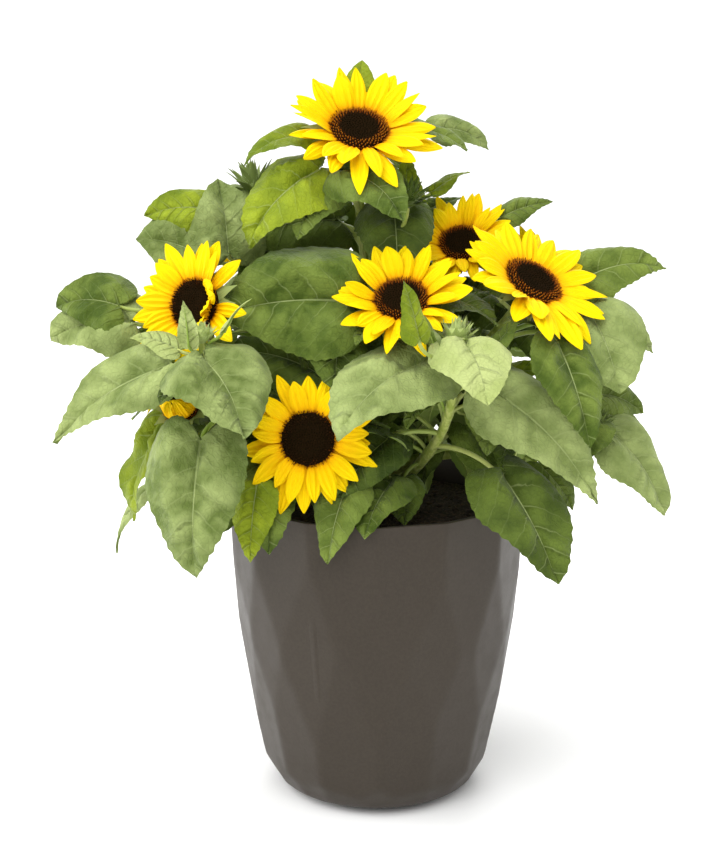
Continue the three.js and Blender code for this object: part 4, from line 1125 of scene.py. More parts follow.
@functools.cache
def ring_faces(count, sides):
    """The faces of a closed skin over rings, as plain lists."""
    return [face for group in skin(count, sides) for face in group.tolist()]


class Crowd:
    """Everything that a new leaf has to keep clear of, each with its box."""

    def __init__(self):
        self.trees = []
        self.lows = np.empty((0, 3))
        self.highs = np.empty((0, 3))

    def add(self, points, faces):
        """Takes in a skin, and gives its number."""
        points = np.reshape(points, (-1, 3))
        self.trees.append(BVHTree.FromPolygons(points.tolist(), faces))
        self.lows = np.vstack([self.lows, points.min(0)])
        self.highs = np.vstack([self.highs, points.max(0)])
        return len(self.trees) - 1

    def add_solid(self, name):
        """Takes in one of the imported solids."""
        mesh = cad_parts[name].data
        points = [vertex.co / MM for vertex in mesh.vertices]
        self.add(points, [list(face.vertices) for face in mesh.polygons])

    def meets(self, rings, leave_out=None):
        """True where a skin over rings cuts into anything but the one that is left out."""
        points = rings.reshape(-1, 3)
        near = np.all((self.lows <= points.max(0)) & (self.highs >= points.min(0)), axis=1)
        if leave_out is not None:
            near[leave_out] = False
        if not near.any():
            return False
        tree = BVHTree.FromPolygons(points.tolist(), ring_faces(*rings.shape[:2]))
        return any(tree.overlap(self.trees[i]) for i in np.flatnonzero(near))


crowd = Crowd()
for name in ["pot", "soil", "main_stem"] + [f"side_stem_{plan['name']}" for plan in SHOOTS[1:]]:
    crowd.add_solid(name)
own_stems = {}
for plan in SHOOTS:
    curve = curves[plan["name"]]
    gap = CLEAR / curve.length()
    begin = gap if plan["name"] == "crown" else BOUGH_SHARE + gap
    shares = np.linspace(begin, 1, STEM_RINGS)
    radii = [shoot_radius(share) for share in shares]
    rings = rings_along(curve.place(shares), curve.along(shares), radii, STEM_CORNERS)
    own_stems[plan["name"]] = crowd.add(rings, ring_faces(STEM_RINGS, STEM_CORNERS))
    if "bloom" in plan:
        crowd.add_solid(f"bloom_{plan['name']}")

blooming = [plan for plan in SHOOTS if "bloom" in plan]
bloom_tips = np.array([plan["tip"] for plan in blooming], float)
bloom_outs = np.array([heading(*plan["face"]) for plan in blooming])
bloom_views = np.array([BLOOM_VIEW * plan["bloom"]["reach"] for plan in blooming])


def hides_bloom(points):
    """True where a leaf would stand between a bloom and the light that it faces."""
    offset = points[:, None] - bloom_tips
    depth = np.sum(offset * bloom_outs, axis=-1)
    aside = np.linalg.norm(offset - depth[..., None] * bloom_outs, axis=-1)
    return np.any((depth > 0) & (depth < BLOOM_VIEW_DEPTH) & (aside < bloom_views))


def leaves_crown(points):
    """True where a leaf would reach out of the plant's crown."""
    return np.any(np.hypot(points[:, 0], points[:, 1]) > CROWN_REACH)


moves = sorted(
    ((shift, tilt, swing) for tilt in TILTS for shift in SHIFTS for swing in SWINGS),
    key=lambda move: abs(move[0]) / 12 + abs(move[1]) / 9 + abs(move[2]) / 12,
)
grown = []


def settle(plan, wanted, filling=False):
    """Sets a leaf on a shoot where it is clear of everything, moved as little as that takes. A filling leaf
    also keeps out of a bloom's light and within the plant's crown."""
    node = curves[plan["name"]].place(wanted["at"])
    stem = own_stems[plan["name"]]
    first_base = node + wanted["stalk"] * heading(wanted["stalk_turn"], wanted["stalk_rise"])
    first_line = blade_line(wanted, np.zeros(3), [0, 0.5, 1])
    first_blade = coarse_blade(wanted, np.zeros(3), CLEAR)
    level = Vector(heading(wanted["turn"] + 90, 0))
    for shift, tilt, swing in moves:
        swung = Matrix.Rotation(math.radians(swing), 3, "Z")
        tilted = Matrix.Rotation(math.radians(-tilt), 3, level)
        turning = np.array(swung @ tilted).T
        base = first_base + [0, shift, 0]
        line = base + first_line @ turning
        if filling and (hides_bloom(line) or leaves_crown(line)):
            continue
        roomy = base + first_blade @ turning
        if crowd.meets(roomy):
            continue
        leaf = dict(wanted, rise=wanted["rise"] + tilt, turn=wanted["turn"] + swing)
        if crowd.meets(np.vstack([coarse_stalk(leaf, node, base, CLEAR), roomy[:1]]), leave_out=stem):
            continue
        whole = np.vstack([coarse_stalk(leaf, node, base, 0), coarse_blade(leaf, base, 0)])
        crowd.add(whole, ring_faces(*whole.shape[:2]))
        grown.append((plan["name"], leaf, node, base))
        return


# Where the leaves grow. The leaves with places of their own are set first, and each shoot is then filled on a
# spiral, as a real stem sets its leaves. Last come a few dark leaves behind the crown, and small hanging ones
# inside the plant, which close it against the light behind; most of these are deep green, painted dark to
# stand for the shade there.
GOLDEN_ANGLE = 137.5
FILL_SPAN = (0.22, 0.8)
FILL_FAN = 230
FILL_STALK = (58, 32)
FILL_BLADE = (98, 62)
FILL_WIDTH_SHARE = 0.74
FILL_RISE = (8, 42)
FILL_FALL = (-42, -16)
FILL_BEND = 45
FILL_LETTERS = "mmmdddpp"
FILL_SEED = 500
BACKING_LEAVES = {
    "crown": [
        (0.55, 110, 30, 34, 100, -62, 56, 50, 0, 40, "d"),
        (0.25, 95, 20, 30, 95, -55, 60, 54, 0, 40, "d"),
        (0.6, 102, 4, 68, 90, -74, 68, 54, 0, 30, "d"),
        (0.62, 92, 14, 82, 92, -80, 52, 48, 0, 20, "d"),
        (0.3, 92, 25, 50, 92, -80, 44, 30, 0, 20, "d"),
    ],
    "inner": [(0.95, 172, 66, 100, 100, -74, 66, 56, 0, 30, "d")],
    "crown_left": [(0.78, 15, 48, 56, 60, -60, 58, 52, 0, 40, "d")],
    "back_right": [(0.6, 8, -5, 44, -90, -68, 58, 52, 0, 40, "d")],
    "right_back": [(0.85, -75, 30, 40, -85, -60, 62, 56, 0, 40, "d")],
    "right": [(0.7, 80, 5, 44, 80, -60, 60, 54, 0, 40, "d")],
}

# Each round of inner leaves: how many on a shoot, the span of it that they stand on, the length of stalk and
# of blade at both ends of that span, the range of their rise, and the first turn and width of their fan.
INNER_FILLS = [
    (18, (0.06, 0.85), (50, 22), (62, 34), (-65, -5), (0, 360)),
    (22, (0.03, 0.7), (30, 20), (50, 32), (-85, -35), (0, 360)),
    (16, (0.35, 0.96), (44, 20), (54, 34), (-40, 45), (0, 360)),
    (16, (0.2, 0.9), (46, 26), (68, 44), (-70, -15), (20, 120)),
]
INNER_WIDTH_SHARE = 0.7
# The inner leaves are mostly deep green, painted dark for the shade inside the plant.
INNER_LETTERS = "mdd"
INNER_SEED = 900


def fill_leaf(number, plan, letter, draw):
    """A filling leaf: its place on a spiral up the shoot, its size and its droop follow from its number."""
    share = number / (plan["fill"] - 1) if plan["fill"] > 1 else 0.5
    turn = plan["face"][0] + number * GOLDEN_ANGLE % FILL_FAN - FILL_FAN / 2 + 20 * (draw() - 0.5)
    length = mix(*FILL_BLADE, share) * (0.85 + 0.3 * draw())
    return dict(
        at=mix(*FILL_SPAN, share),
        stalk_turn=turn,
        stalk_rise=mix(*FILL_RISE, share) + 12 * (draw() - 0.5),
        stalk=mix(*FILL_STALK, share) * (0.85 + 0.3 * draw()),
        turn=turn + 30 * (draw() - 0.5),
        rise=mix(*FILL_FALL, share) + 16 * (draw() - 0.5),
        length=length,
        width=FILL_WIDTH_SHARE * length,
        roll=24 * (draw() - 0.5),
        bend=FILL_BEND,
        letter=letter,
    )


def inner_leaf(number, fill, draw):
    """A small hanging leaf that fills the inside of the plant, on a spiral round the shoot."""
    count, span, stalk, blade, hang, fan = fill
    share = number / (count - 1)
    turn = fan[0] + number * GOLDEN_ANGLE % fan[1] + 40 * draw()
    length = mix(*blade, share) * (0.8 + 0.4 * draw())
    return dict(
        at=mix(*span, share),
        stalk_turn=turn,
        stalk_rise=5 + 40 * draw(),
        stalk=mix(*stalk, share) * (0.8 + 0.4 * draw()),
        turn=turn + 40 * (draw() - 0.5),
        rise=mix(*hang, draw()),
        length=length,
        width=INNER_WIDTH_SHARE * length,
        roll=30 * (draw() - 0.5),
        bend=FILL_BEND,
        letter=INNER_LETTERS[number % len(INNER_LETTERS)],
    )


for plan in SHOOTS:
    for row in plan["leaves"]:
        settle(plan, dict(zip(LEAF_FIELDS, row)))
for index, plan in enumerate(SHOOTS):
    draw = seeded(FILL_SEED + index)
    for number in range(plan["fill"]):
        letter = FILL_LETTERS[(3 * number + 5 * index) % len(FILL_LETTERS)]
        settle(plan, fill_leaf(number, plan, letter, draw), filling=True)
for plan in SHOOTS:
    for row in BACKING_LEAVES.get(plan["name"], []):
        settle(plan, dict(zip(LEAF_FIELDS, row)))
for index, plan in enumerate(SHOOTS):
    draw = seeded(INNER_SEED + index)
    for fill in INNER_FILLS:
        for number in range(fill[0]):
            settle(plan, inner_leaf(number, fill, draw), filling=True)


# Finished leaves. Each blade is a thin closed skin with its own teeth, folds and waves, plump between its
# veins, and its stalk runs on under it as a raised rib. The face is downy, in five greens; the deep green is
# partly painted shade, given to leaves that hang or stand in shade inside and behind the plant. The back is
# paler.
FINE_ROWS = [(75, 47, 15), (40, 35, 11), (0, 23, 9)]
LEAF_THICKNESS = 0.45
TOOTH = 0.012
VEINS = 5.2
VEIN_SLANT = 0.62
VEIN_CURVE = 0.9
VEIN_STAGGER = 0.4
QUILT_HEIGHT = 0.054
# Painted light and shade of the quilting: its plump parts lighter and its hollows darker.
QUILT_PAINTED_SHADE = 0.75
QUILT_MEAN = 0.35
YOUNG_CALM = 0.35
LOBE_BULGE = 0.085
DEEP_FOLD = 0.24
DEEP_SAG = 2.2
RUFFLE = 0.045
TIP_CURL = 0.45
RIB_SWAY = 0.1
MARGIN_WANDER = 0.003
MARGIN_WAVES = (2, 4, 6)
LOPSIDED = 0.12
BLADE_TWIST = 30
ANY_PHASE = 6.3
STALK_RINGS = 12
STALK_SIDES = 8
RIB_REACH = (0.03, 0.8)
RIB_RINGS = 9
LEAF_SEED = 321
# Each green: its name and its low and high tone. The deep green is partly painted shade.
LEAF_COLOURS = {
    "p": ("leaves_grey_green", (0.112, 0.158, 0.032), (0.335, 0.405, 0.14)),
    "m": ("leaves_green", (0.056, 0.093, 0.008), (0.185, 0.25, 0.043)),
    "d": ("leaves_deep_green", (0.030, 0.052, 0.004), (0.105, 0.152, 0.02)),
    "l": ("leaves_bright_green", (0.115, 0.17, 0.005), (0.28, 0.35, 0.016)),
    "y": ("leaves_young", (0.27, 0.34, 0.085), (0.44, 0.51, 0.19)),
}
VEIN_COLOUR = (0.38, 0.45, 0.18)
UNDERSIDE_COLOUR = (0.14, 0.215, 0.03)
UNDERSIDE_PALE = (0.24, 0.31, 0.07)
STALK_COLOUR = (0.22, 0.33, 0.03)


def half_phases(c, draw):
    """A chance phase for each half of a blade."""
    return np.where(c < 0, ANY_PHASE * draw(), ANY_PHASE * draw())


def blade_margin(leaf, t, c, draw):
    """Where the points of a fine blade lie along and across it, with its teeth and its uneven halves. The
    places t run from the stalk to the tip, and c from one margin to the other."""
    edge = outline_place(leaf, t, LOBED_NARROW_OUTLINE, LOBED_BROAD_OUTLINE)
    half = np.maximum(edge[:, 1], stalk_radius(leaf) / leaf["width"] * (1 - t))[:, None]
    lopsided = LOPSIDED * (draw() - 0.5)
    wander = 0
    for waves in MARGIN_WAVES:
        course = 2 * np.pi * (waves + draw()) * t[:, None]
        wander = wander + np.sin(course + half_phases(c, draw))
    half = half * (1 + lopsided * np.sign(c)) + MARGIN_WANDER * wander * np.sin(np.pi * t)[:, None] ** 0.5
    sharp = np.array([[0.5 + 0.6 * draw(), 0.5 + 0.6 * draw()] for _ in t])[:, [0] * (len(c) - 1) + [1]]
    tooth = TOOTH * sharp * (np.arange(len(t)) % 2 * np.minimum(1, 10 * np.minimum(t, 1 - t)))[:, None]
    tooth *= np.abs(c) == 1
    along = mix((t**RIB_PACE)[:, None], edge[:, :1], np.abs(c)) + 0.8 * tooth
    across = (half + tooth * leaf["length"] / leaf["width"]) * c
    return along, across


def blade_relief(leaf, t, c, along, across, draw):
    """How far a fine blade's face stands out, the painted light and shade of its quilting, and how its tip
    curls.
    """
    out = np.abs(across) * leaf["width"] / leaf["length"]
    course = VEINS * (along - VEIN_SLANT * out - VEIN_CURVE * out**2) + VEIN_STAGGER * (c > 0)
    course += 0.3 * np.sin(4 * across + 9 * along + ANY_PHASE * draw())
    uneven = 0.55 + 0.45 * np.sin(2.3 * course + ANY_PHASE * draw() + 2 * np.sign(c))
    pillow = uneven * np.abs(np.sin(np.pi * course)) ** 0.8 * np.sin(np.pi * np.abs(c) ** 0.7) ** 0.8
    halfway = np.sin(np.pi * np.abs(c))
    shoulder = np.exp(-(((along - 0.12) / 0.24) ** 2)) * halfway
    waist = 0.6 * np.exp(-(((along - 0.52) / 0.2) ** 2)) * halfway
    lobe = shoulder + waist * np.sin(ANY_PHASE * draw() + 2 * np.sign(c))
    waves = 2 * np.pi * (1.6 + 1.6 * draw()) * t[:, None]
    ruffle = np.sin(waves + half_phases(c, draw)) * np.abs(c) ** 2.5 * np.sin(np.pi * t)[:, None]
    dent = np.sin(5 * along + ANY_PHASE * draw()) * np.sin(9 * across + ANY_PHASE * draw()) * np.abs(c)
    curl = TIP_CURL * (draw() - 0.25) * np.maximum(0, along - 0.5) ** 2 * leaf["length"]

    calm = YOUNG_CALM if leaf["letter"] == "y" else 1
    lift = calm * QUILT_HEIGHT * (0.6 + 0.8 * draw()) * (pillow + dent)
    lift += RUFFLE * (0.25 + draw()) * ruffle
    lift += LOBE_BULGE * (0.4 + 0.9 * draw()) * lobe
    fold = DEEP_FOLD * (0.6 + 0.8 * draw())
    lift += fold * (np.abs(across) - DEEP_SAG * across**2) * np.minimum(1, 6 * t[:, None])
    # The second value is painted light and shade: paler on the quilting's plump parts, darker in its hollows.
    return leaf["width"] * lift - curl, calm * QUILT_PAINTED_SHADE * (pillow - QUILT_MEAN), curl


def add_stalk(stalks, leaf, node, base, curl, sway, twist, draw):
    """The stalk of a leaf, which arches from the shoot and runs on under the blade as its rib. The curl is
    that of the blade along its middle line."""
    curve = stalk_curve(leaf, node, base)
    shares = np.linspace(0, 1, STALK_RINGS)
    under = np.linspace(*RIB_REACH, RIB_RINGS)
    rib = mix(0.9 * stalk_radius(leaf), 0.25, np.linspace(0, 1, RIB_RINGS) ** 0.7)
    sunk = -np.interp(under, *curl) - 0.95 * rib - 0.25
    line = np.vstack([curve.place(shares), blade_place(leaf, base, under, sway * under**2, sunk, twist)])
    way = np.gradient(line, axis=0)
    way /= np.linalg.norm(way, axis=1, keepdims=True)
    radii = np.concatenate([mix(*STALK_FLARE, shares) * stalk_radius(leaf), rib])
    add_tube(stalks, line, way, radii, STALK_SIDES, shade=draw())


def add_leaf(blades, stalks, leaf, node, base, draw):
    """One finished leaf: its toothed and quilted blade, and its stalk."""
    rows, columns = next(size for least, *size in FINE_ROWS if leaf["length"] >= least)
    t, c = np.linspace(0, 1, rows), np.linspace(-1, 1, columns)
    along, across = blade_margin(leaf, t, c, draw)
    lift, tone, curl = blade_relief(leaf, t, c, along, across, draw)
    twist = BLADE_TWIST * (draw() - 0.5)
    sway = RIB_SWAY * (draw() - 0.5) * leaf["length"] / leaf["width"]
    points = blade_place(leaf, base, along, across + sway * along**2, lift, twist)
    _, proud = blade_axes(leaf, along, twist)
    spots = np.stack([across * leaf["width"] / leaf["length"], along], axis=-1)
    coats = (0, 0) if leaf["letter"] == "y" else (0, 1)
    # Each point's shade is the leaf's own tone plus the painted light and shade of its quilting.
    leaflet(blades, points, spots, proud, LEAF_THICKNESS, draw() + tone, coats)
    add_stalk(stalks, leaf, node, base, (t**RIB_PACE, curl[:, columns // 2]), sway, twist, draw)


def calc(tree, operation, *values):
    """The output of a sum on two values."""
    return add_node(tree, "ShaderNodeMath", dict(enumerate(values)), operation=operation).outputs[0]


def own_spot(tree):
    """The spot of each point on its own leaf, petal or floret."""
    return add_node(tree, "ShaderNodeUVMap", uv_map="spot").outputs["UV"]


def own_shade(tree):
    """The shade that each leaf, petal, floret or stalk was given."""
    return add_node(tree, "ShaderNodeAttribute", attribute_name="shade").outputs["Fac"]


def vein_pattern(tree, aside, along, out, pucker):
    """The rib, the side veins that branch from it, and how far each point is from the next side vein."""
    slanted = calc(tree, "SUBTRACT", along, calc(tree, "MULTIPLY", out, VEIN_SLANT))
    bowed = calc(tree, "MULTIPLY", calc(tree, "MULTIPLY", out, out), VEIN_CURVE)
    course = calc(tree, "MULTIPLY", calc(tree, "SUBTRACT", slanted, bowed), VEINS)
    stagger = calc(tree, "MULTIPLY", calc(tree, "GREATER_THAN", aside, 0.0), VEIN_STAGGER)
    wander = calc(tree, "MULTIPLY", calc(tree, "SUBTRACT", pucker, 0.5), 0.35)
    course = calc(tree, "ADD", calc(tree, "ADD", course, stagger), wander)
    lateral = calc(tree, "PINGPONG", course, 0.5)
    faded = ramp(tree, out, 0.02, 0.24, 0.26, 0.07)
    side_vein = calc(tree, "MULTIPLY", ramp(tree, lateral, 0.008, 0.05, 1, 0), faded)
    rib_width = ramp(tree, along, 0.0, 0.8, 0.0065, 0.0025)
    rib = ramp(tree, calc(tree, "DIVIDE", out, rib_width), 0.6, 1.5, 1, 0)
    rib = calc(tree, "MULTIPLY", rib, ramp(tree, along, 0.5, 0.9, 0.8, 0.15))
    return rib, side_vein, lateral


def leaf_finish(name, low, high):
    """The downy face of a leaf: two greens that drift into each other, a pale rib, faint side veins with
    painted shade in the furrows beside them, and fine puckers between them with a painted highlight where
    they rise."""
    material, tree, shader = new_finish(name, roughness=0.62, gloss=0.13, down=0.06)
    parts = add_node(tree, "ShaderNodeSeparateXYZ", {"Vector": own_spot(tree)})
    aside, along = parts.outputs["X"], parts.outputs["Y"]
    out = calc(tree, "ABSOLUTE", aside)
    place = object_place(tree)
    drift = noise(tree, place, scale=40, detail=1)
    pucker = noise(tree, place, scale=95, detail=1)
    rib, side_vein, lateral = vein_pattern(tree, aside, along, out, pucker)
    crease = ramp(tree, lateral, 0.0, 0.2, 1, 0)
    crease = calc(tree, "MULTIPLY", crease, ramp(tree, out, 0.02, 0.28, 1, 0.25))
    furrow_and_shade = calc(tree, "MULTIPLY", crease, ramp(tree, drift, 0.35, 0.65, 0.15, 0.9))
    cells = add_node(
        tree, "ShaderNodeTexVoronoi", {"Vector": place, "Scale": 260.0}, feature="DISTANCE_TO_EDGE"
    )
    net = ramp(tree, cells.outputs["Distance"], 0.0, 0.2)

    dark = [0.5 * channel for channel in low]
    share = calc(tree, "MULTIPLY", own_shade(tree), 0.5)
    share = calc(tree, "ADD", share, ramp(tree, drift, 0.3, 0.7, -0.1, 0.6))
    green = blend(tree, share, low, high)
    # Painted shade: darker green in the furrows beside the side veins.
    green = blend(tree, calc(tree, "MULTIPLY", furrow_and_shade, 0.36), green, dark)
    green = blend(tree, ramp(tree, net, 0, 1, 0.1, 0), green, dark)
    # Painted highlight: paler green where the puckers rise.
    green = blend(tree, ramp(tree, pucker, 0.4, 0.68, 0, 0.3), green, high)
    green = blend(tree, calc(tree, "MAXIMUM", rib, side_vein), green, VEIN_COLOUR)
    paint(tree, shader, green)

    raised = calc(tree, "MULTIPLY", pucker, 0.6)
    raised = calc(tree, "SUBTRACT", raised, calc(tree, "MULTIPLY", furrow_and_shade, 0.45))
    raised = calc(tree, "ADD", raised, calc(tree, "MULTIPLY", drift, 2.6))
    raised = calc(tree, "ADD", raised, calc(tree, "MULTIPLY", net, 0.08))
    raised = calc(tree, "SUBTRACT", raised, calc(tree, "MULTIPLY", rib, 0.25))
    emboss(tree, shader, raised, depth=0.0036, strength=0.9)
    return material


def underside_finish():
    """The paler and more even back of a leaf."""
    material, tree, shader = new_finish("leaf_underside", roughness=0.65, gloss=0.15, down=0.1)
    place = object_place(tree)
    cloud = ramp(tree, noise(tree, place, scale=60, detail=4), 0.3, 0.7)
    paint(tree, shader, blend(tree, cloud, UNDERSIDE_COLOUR, UNDERSIDE_PALE))
    emboss(tree, shader, noise(tree, place, scale=500), depth=0.0005, strength=0.5)
    return material


def stalk_finish():
    """Downy green stalk, each a little paler or deeper than the next."""
    material, tree, shader = new_finish("leaf_stalk", roughness=0.5, down=0.1)
    paint(tree, shader, blend(tree, own_shade(tree), STALK_COLOUR, STEM_PALE))
    return material


stalks = Bundle()
sprays = {letter: Bundle() for letter in LEAF_COLOURS}
kept = {letter: set() for letter in LEAF_COLOURS}
draw = seeded(LEAF_SEED)
for name, leaf, node, base in grown:
    add_leaf(sprays[leaf["letter"]], stalks, leaf, node, base, draw)
    kept[leaf["letter"]].add(f"leaves_{name}")
underside = underside_finish()
for letter, (name, low, high) in LEAF_COLOURS.items():
    spray = sprays[letter].build(name, leaf_finish(name, low, high), underside)
    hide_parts(*sorted(kept[letter]))
stalk_piece = stalks.build("leaf_stalks", stalk_finish())
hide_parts(*[f"leaves_{plan['name']}" for plan in SHOOTS])


# Blooms. Each is a ring of yellow petals in two layers round a dark disc of hundreds of florets, held in a
# green cup with two rows of pointed bracts. The petals are grooved lengthways, and orange where they meet the
# disc. On two blooms on the left some or all of the petals are still curled in over the disc.
PETALS = 15
PETAL_DROOP = 0.22
PETAL_WIDTH = 14.4
PETAL_THICKNESS = 0.35
PETAL_GRID = (15, 7)
PETAL_PROFILE = [
    (0, 0.46), (0.1, 0.64), (0.25, 0.86), (0.42, 0.99), (0.56, 1),
    (0.7, 0.9), (0.82, 0.68), (0.91, 0.43), (1, 0.1),
]
PETAL_LAYERS = [(1, 0, 4.2), (0.92, 9, 5.6)]
PETAL_FOOT = 0.88
PETAL_ARCH = (-7, 43)
CURLED_PETAL = dict(lean=(52, 78), arch=(60, 120), span=(0.6, 0.85))
SHUT_PETAL = dict(lean=(118, 134), arch=(-80, -120), span=(0.9, 1.2))
HALF_TURN = 180
BLOOM_SEED = 100
PETAL_SEED = 700
MIDDLE_DISC = 21
DISC_RINGS = [
    (0.3, -5.5), (0.72, -4.2), (1.0, 0.5), (1.02, 4.2), (0.94, 7.0),
    (0.78, 8.6), (0.5, 8.8), (0.2, 7.9), (0.04, 7.6),
]
DISC_SIDES = 40
CUP_BRACTS = 13
CUP_ROWS = [(0.86, -14, 0.8, 1.5), (0.66, -30, 0.62, -1.0)]
CUP_BRACT_WIDTH = 10.5
CUP_BRACT_GRID = (9, 5)
CUP_BRACT_THICKNESS = 0.4
FLORETS = 340
RIM_FLORETS = 84
FLORET_SIDES = 5
FLORET_RINGS = ((-0.3, 0.9), (0.7, 1.0), (1.0, 0.45))
SHUT_FLORET = dict(tall=0.7, thick=0.6, ripe=0.15)
OPEN_FLORET = dict(tall=2.4, thick=0.52)
OPEN_FROM = 0.6
OPEN_OVER = 0.2
RIPENESS = 0.95
PETAL_ROOT = (0.30, 0.05, 0.0)
PETAL_ORANGE = (0.88, 0.42, 0.0)
PETAL_YELLOW = (0.93, 0.63, 0.0002)
PETAL_TIP = (0.93, 0.735, 0.0004)
PETAL_GOLD = (0.93, 0.50, 0.0)
DISC_DARK = (0.006, 0.004, 0.0006)
DISC_BROWN = (0.020, 0.009, 0.003)
FLORET_RED = (0.2, 0.05, 0.006)
FLORET_AMBER = (0.42, 0.16, 0.012)
CUP_GREEN = (0.10, 0.17, 0.018)


def add_petals(petals, plan, own, draw):
    """The two layers of petals. The low ones hang a little, as the solid bloom's petals do, and those that
    lie within the curled part of the ring are bent in over the disc."""
    bloom = plan["bloom"]
    disc, reach = bloom["disc"], bloom["reach"]
    axes, centre = face_axes(plan["face"]), np.array(plan["tip"], float)
    curl_turn, curl_width = bloom.get("curled", (0, 0))
    for layer, (longer, rise, height) in enumerate(PETAL_LAYERS):
        for k, (share, wander) in enumerate(own):
            angle = 2 * math.pi * (k + layer / 2) / PETALS + 0.16 * (draw() - 0.5)
            lean = bloom["cup"] + bloom["tilt"] * math.sin(angle) + wander + rise + 14 * (draw() - 0.5)
            arch = mix(*PETAL_ARCH, draw())
            span = reach * share * longer * (1.02 - 0.14 * draw() ** 2) - PETAL_FOOT * disc
            away = abs((math.degrees(angle) - curl_turn + HALF_TURN) % 360 - HALF_TURN)
            if curl_width > HALF_TURN or (away < curl_width and (layer or k % 2)):
                bent = SHUT_PETAL if curl_width > HALF_TURN else CURLED_PETAL
                lean, arch = mix(*bent["lean"], draw()), mix(*bent["arch"], draw())
                span *= mix(*bent["span"], draw())
            width = PETAL_WIDTH * (reach / 60) * (0.76 + 0.44 * draw())
            petal = petal_grid(
                axes, centre, angle, (PETAL_FOOT * disc, height), span, lean, width, PETAL_PROFILE,
                PETAL_GRID, arch=arch, cup=-0.3 + 0.45 * draw(), twist=70 * (draw() - 0.5),
                sway=0.24 * (draw() - 0.5), droop=PETAL_DROOP * max(0, -math.sin(angle)) / (reach - disc),
            )
            leaflet(petals, *petal, PETAL_THICKNESS, bloom.get("gold", 0) + 0.3 * draw())


def add_cup(cups, bracts, plan, draw):
    """The body of the disc, turned like a button, and the two rows of bracts behind the petals."""
    bloom = plan["bloom"]
    disc, reach = bloom["disc"], bloom["reach"]
    axes, centre = face_axes(plan["face"]), np.array(plan["tip"], float)
    angle = np.linspace(0, 2 * np.pi, DISC_SIDES, endpoint=False)[:, None]
    rings = np.array([
        centre + r * disc * face_spoke(axes, angle) + h * disc / MIDDLE_DISC * axes[2] for r, h in DISC_RINGS
    ])
    cups.add(rings, skin(len(rings), DISC_SIDES), shade=np.repeat([h for _, h in DISC_RINGS], DISC_SIDES))
    for row, (length, lean, foot, height) in enumerate(CUP_ROWS):
        for k in range(CUP_BRACTS):
            bract = petal_grid(
                axes, centre, 2 * math.pi * (k + row / 2 + 0.3 * draw()) / CUP_BRACTS, (foot * disc, height),
                length * (0.55 * reach - 0.3 * disc) * (0.9 + 0.25 * draw()),
                bloom["cup"] + lean + 10 * (draw() - 0.5), CUP_BRACT_WIDTH, BRACT_PROFILE, CUP_BRACT_GRID,
                arch=34, cup=0.25, twist=16 * (draw() - 0.5),
            )
            leaflet(bracts, *bract, CUP_BRACT_THICKNESS, 0.35 + 0.3 * draw())


def disc_height(share):
    """How far the disc's face stands out of the bloom at a share of its radius."""
    shares, heights = zip(*DISC_RINGS[:2:-1])
    return np.interp(share, shares, heights)


def add_floret(florets, centre, axes, radius, angle, foot, tall, thick, lean, shade):
    """A tiny tube that stands on the disc and leans outward."""
    out, spoke = axes[2], face_spoke(axes, angle)
    way = spoke * math.sin(lean) + out * math.cos(lean)
    side = np.cross(out, spoke)
    over = np.cross(way, side)
    root = centre + radius * spoke + foot * out
    turn = np.linspace(0, 2 * np.pi, FLORET_SIDES, endpoint=False)[:, None]
    rings = [
        root + h * tall * way + r * thick * (side * np.cos(turn) + over * np.sin(turn))
        for h, r in FLORET_RINGS
    ]
    spots = np.repeat([[0, max(0, h)] for h, _ in FLORET_RINGS], FLORET_SIDES, axis=0)
    florets.add(np.array(rings), skin(len(rings), FLORET_SIDES), spots, shade)


def add_florets(florets, plan, draw):
    """Florets on a spiral, shut in the middle and open and redder outside, and a rim of tall ones."""
    disc, ripe = plan["bloom"]["disc"], plan["bloom"].get("ripe", RIPENESS)
    axes, centre = face_axes(plan["face"]), np.array(plan["tip"], float)
    scale = disc / MIDDLE_DISC
    for i in range(FLORETS):
        share = math.sqrt((i + 0.5) / FLORETS)
        turn = math.radians(i * GOLDEN_ANGLE)
        opened = min(1, max(0, (share - OPEN_FROM) / OPEN_OVER))
        add_floret(
            florets, centre, axes, 0.96 * share * disc, turn, disc_height(share) * scale,
            mix(SHUT_FLORET["tall"], OPEN_FLORET["tall"], opened) * (0.8 + 0.4 * draw()),
            mix(SHUT_FLORET["thick"], OPEN_FLORET["thick"], opened) * scale,
            0.15 + 0.5 * share * draw(), mix(SHUT_FLORET["ripe"], ripe, opened) + 0.3 * (draw() - 0.5),
        )
    for i in range(RIM_FLORETS):
        turn = 2 * math.pi * (i + 0.6 * draw()) / RIM_FLORETS
        add_floret(
            florets, centre, axes, (0.93 + 0.07 * draw()) * disc, turn, 5.6 * scale,
            3.2 * (0.7 + 0.5 * draw()), 0.42 * scale, 0.4 + 0.5 * draw(), 0.75 + 0.25 * draw(),
        )


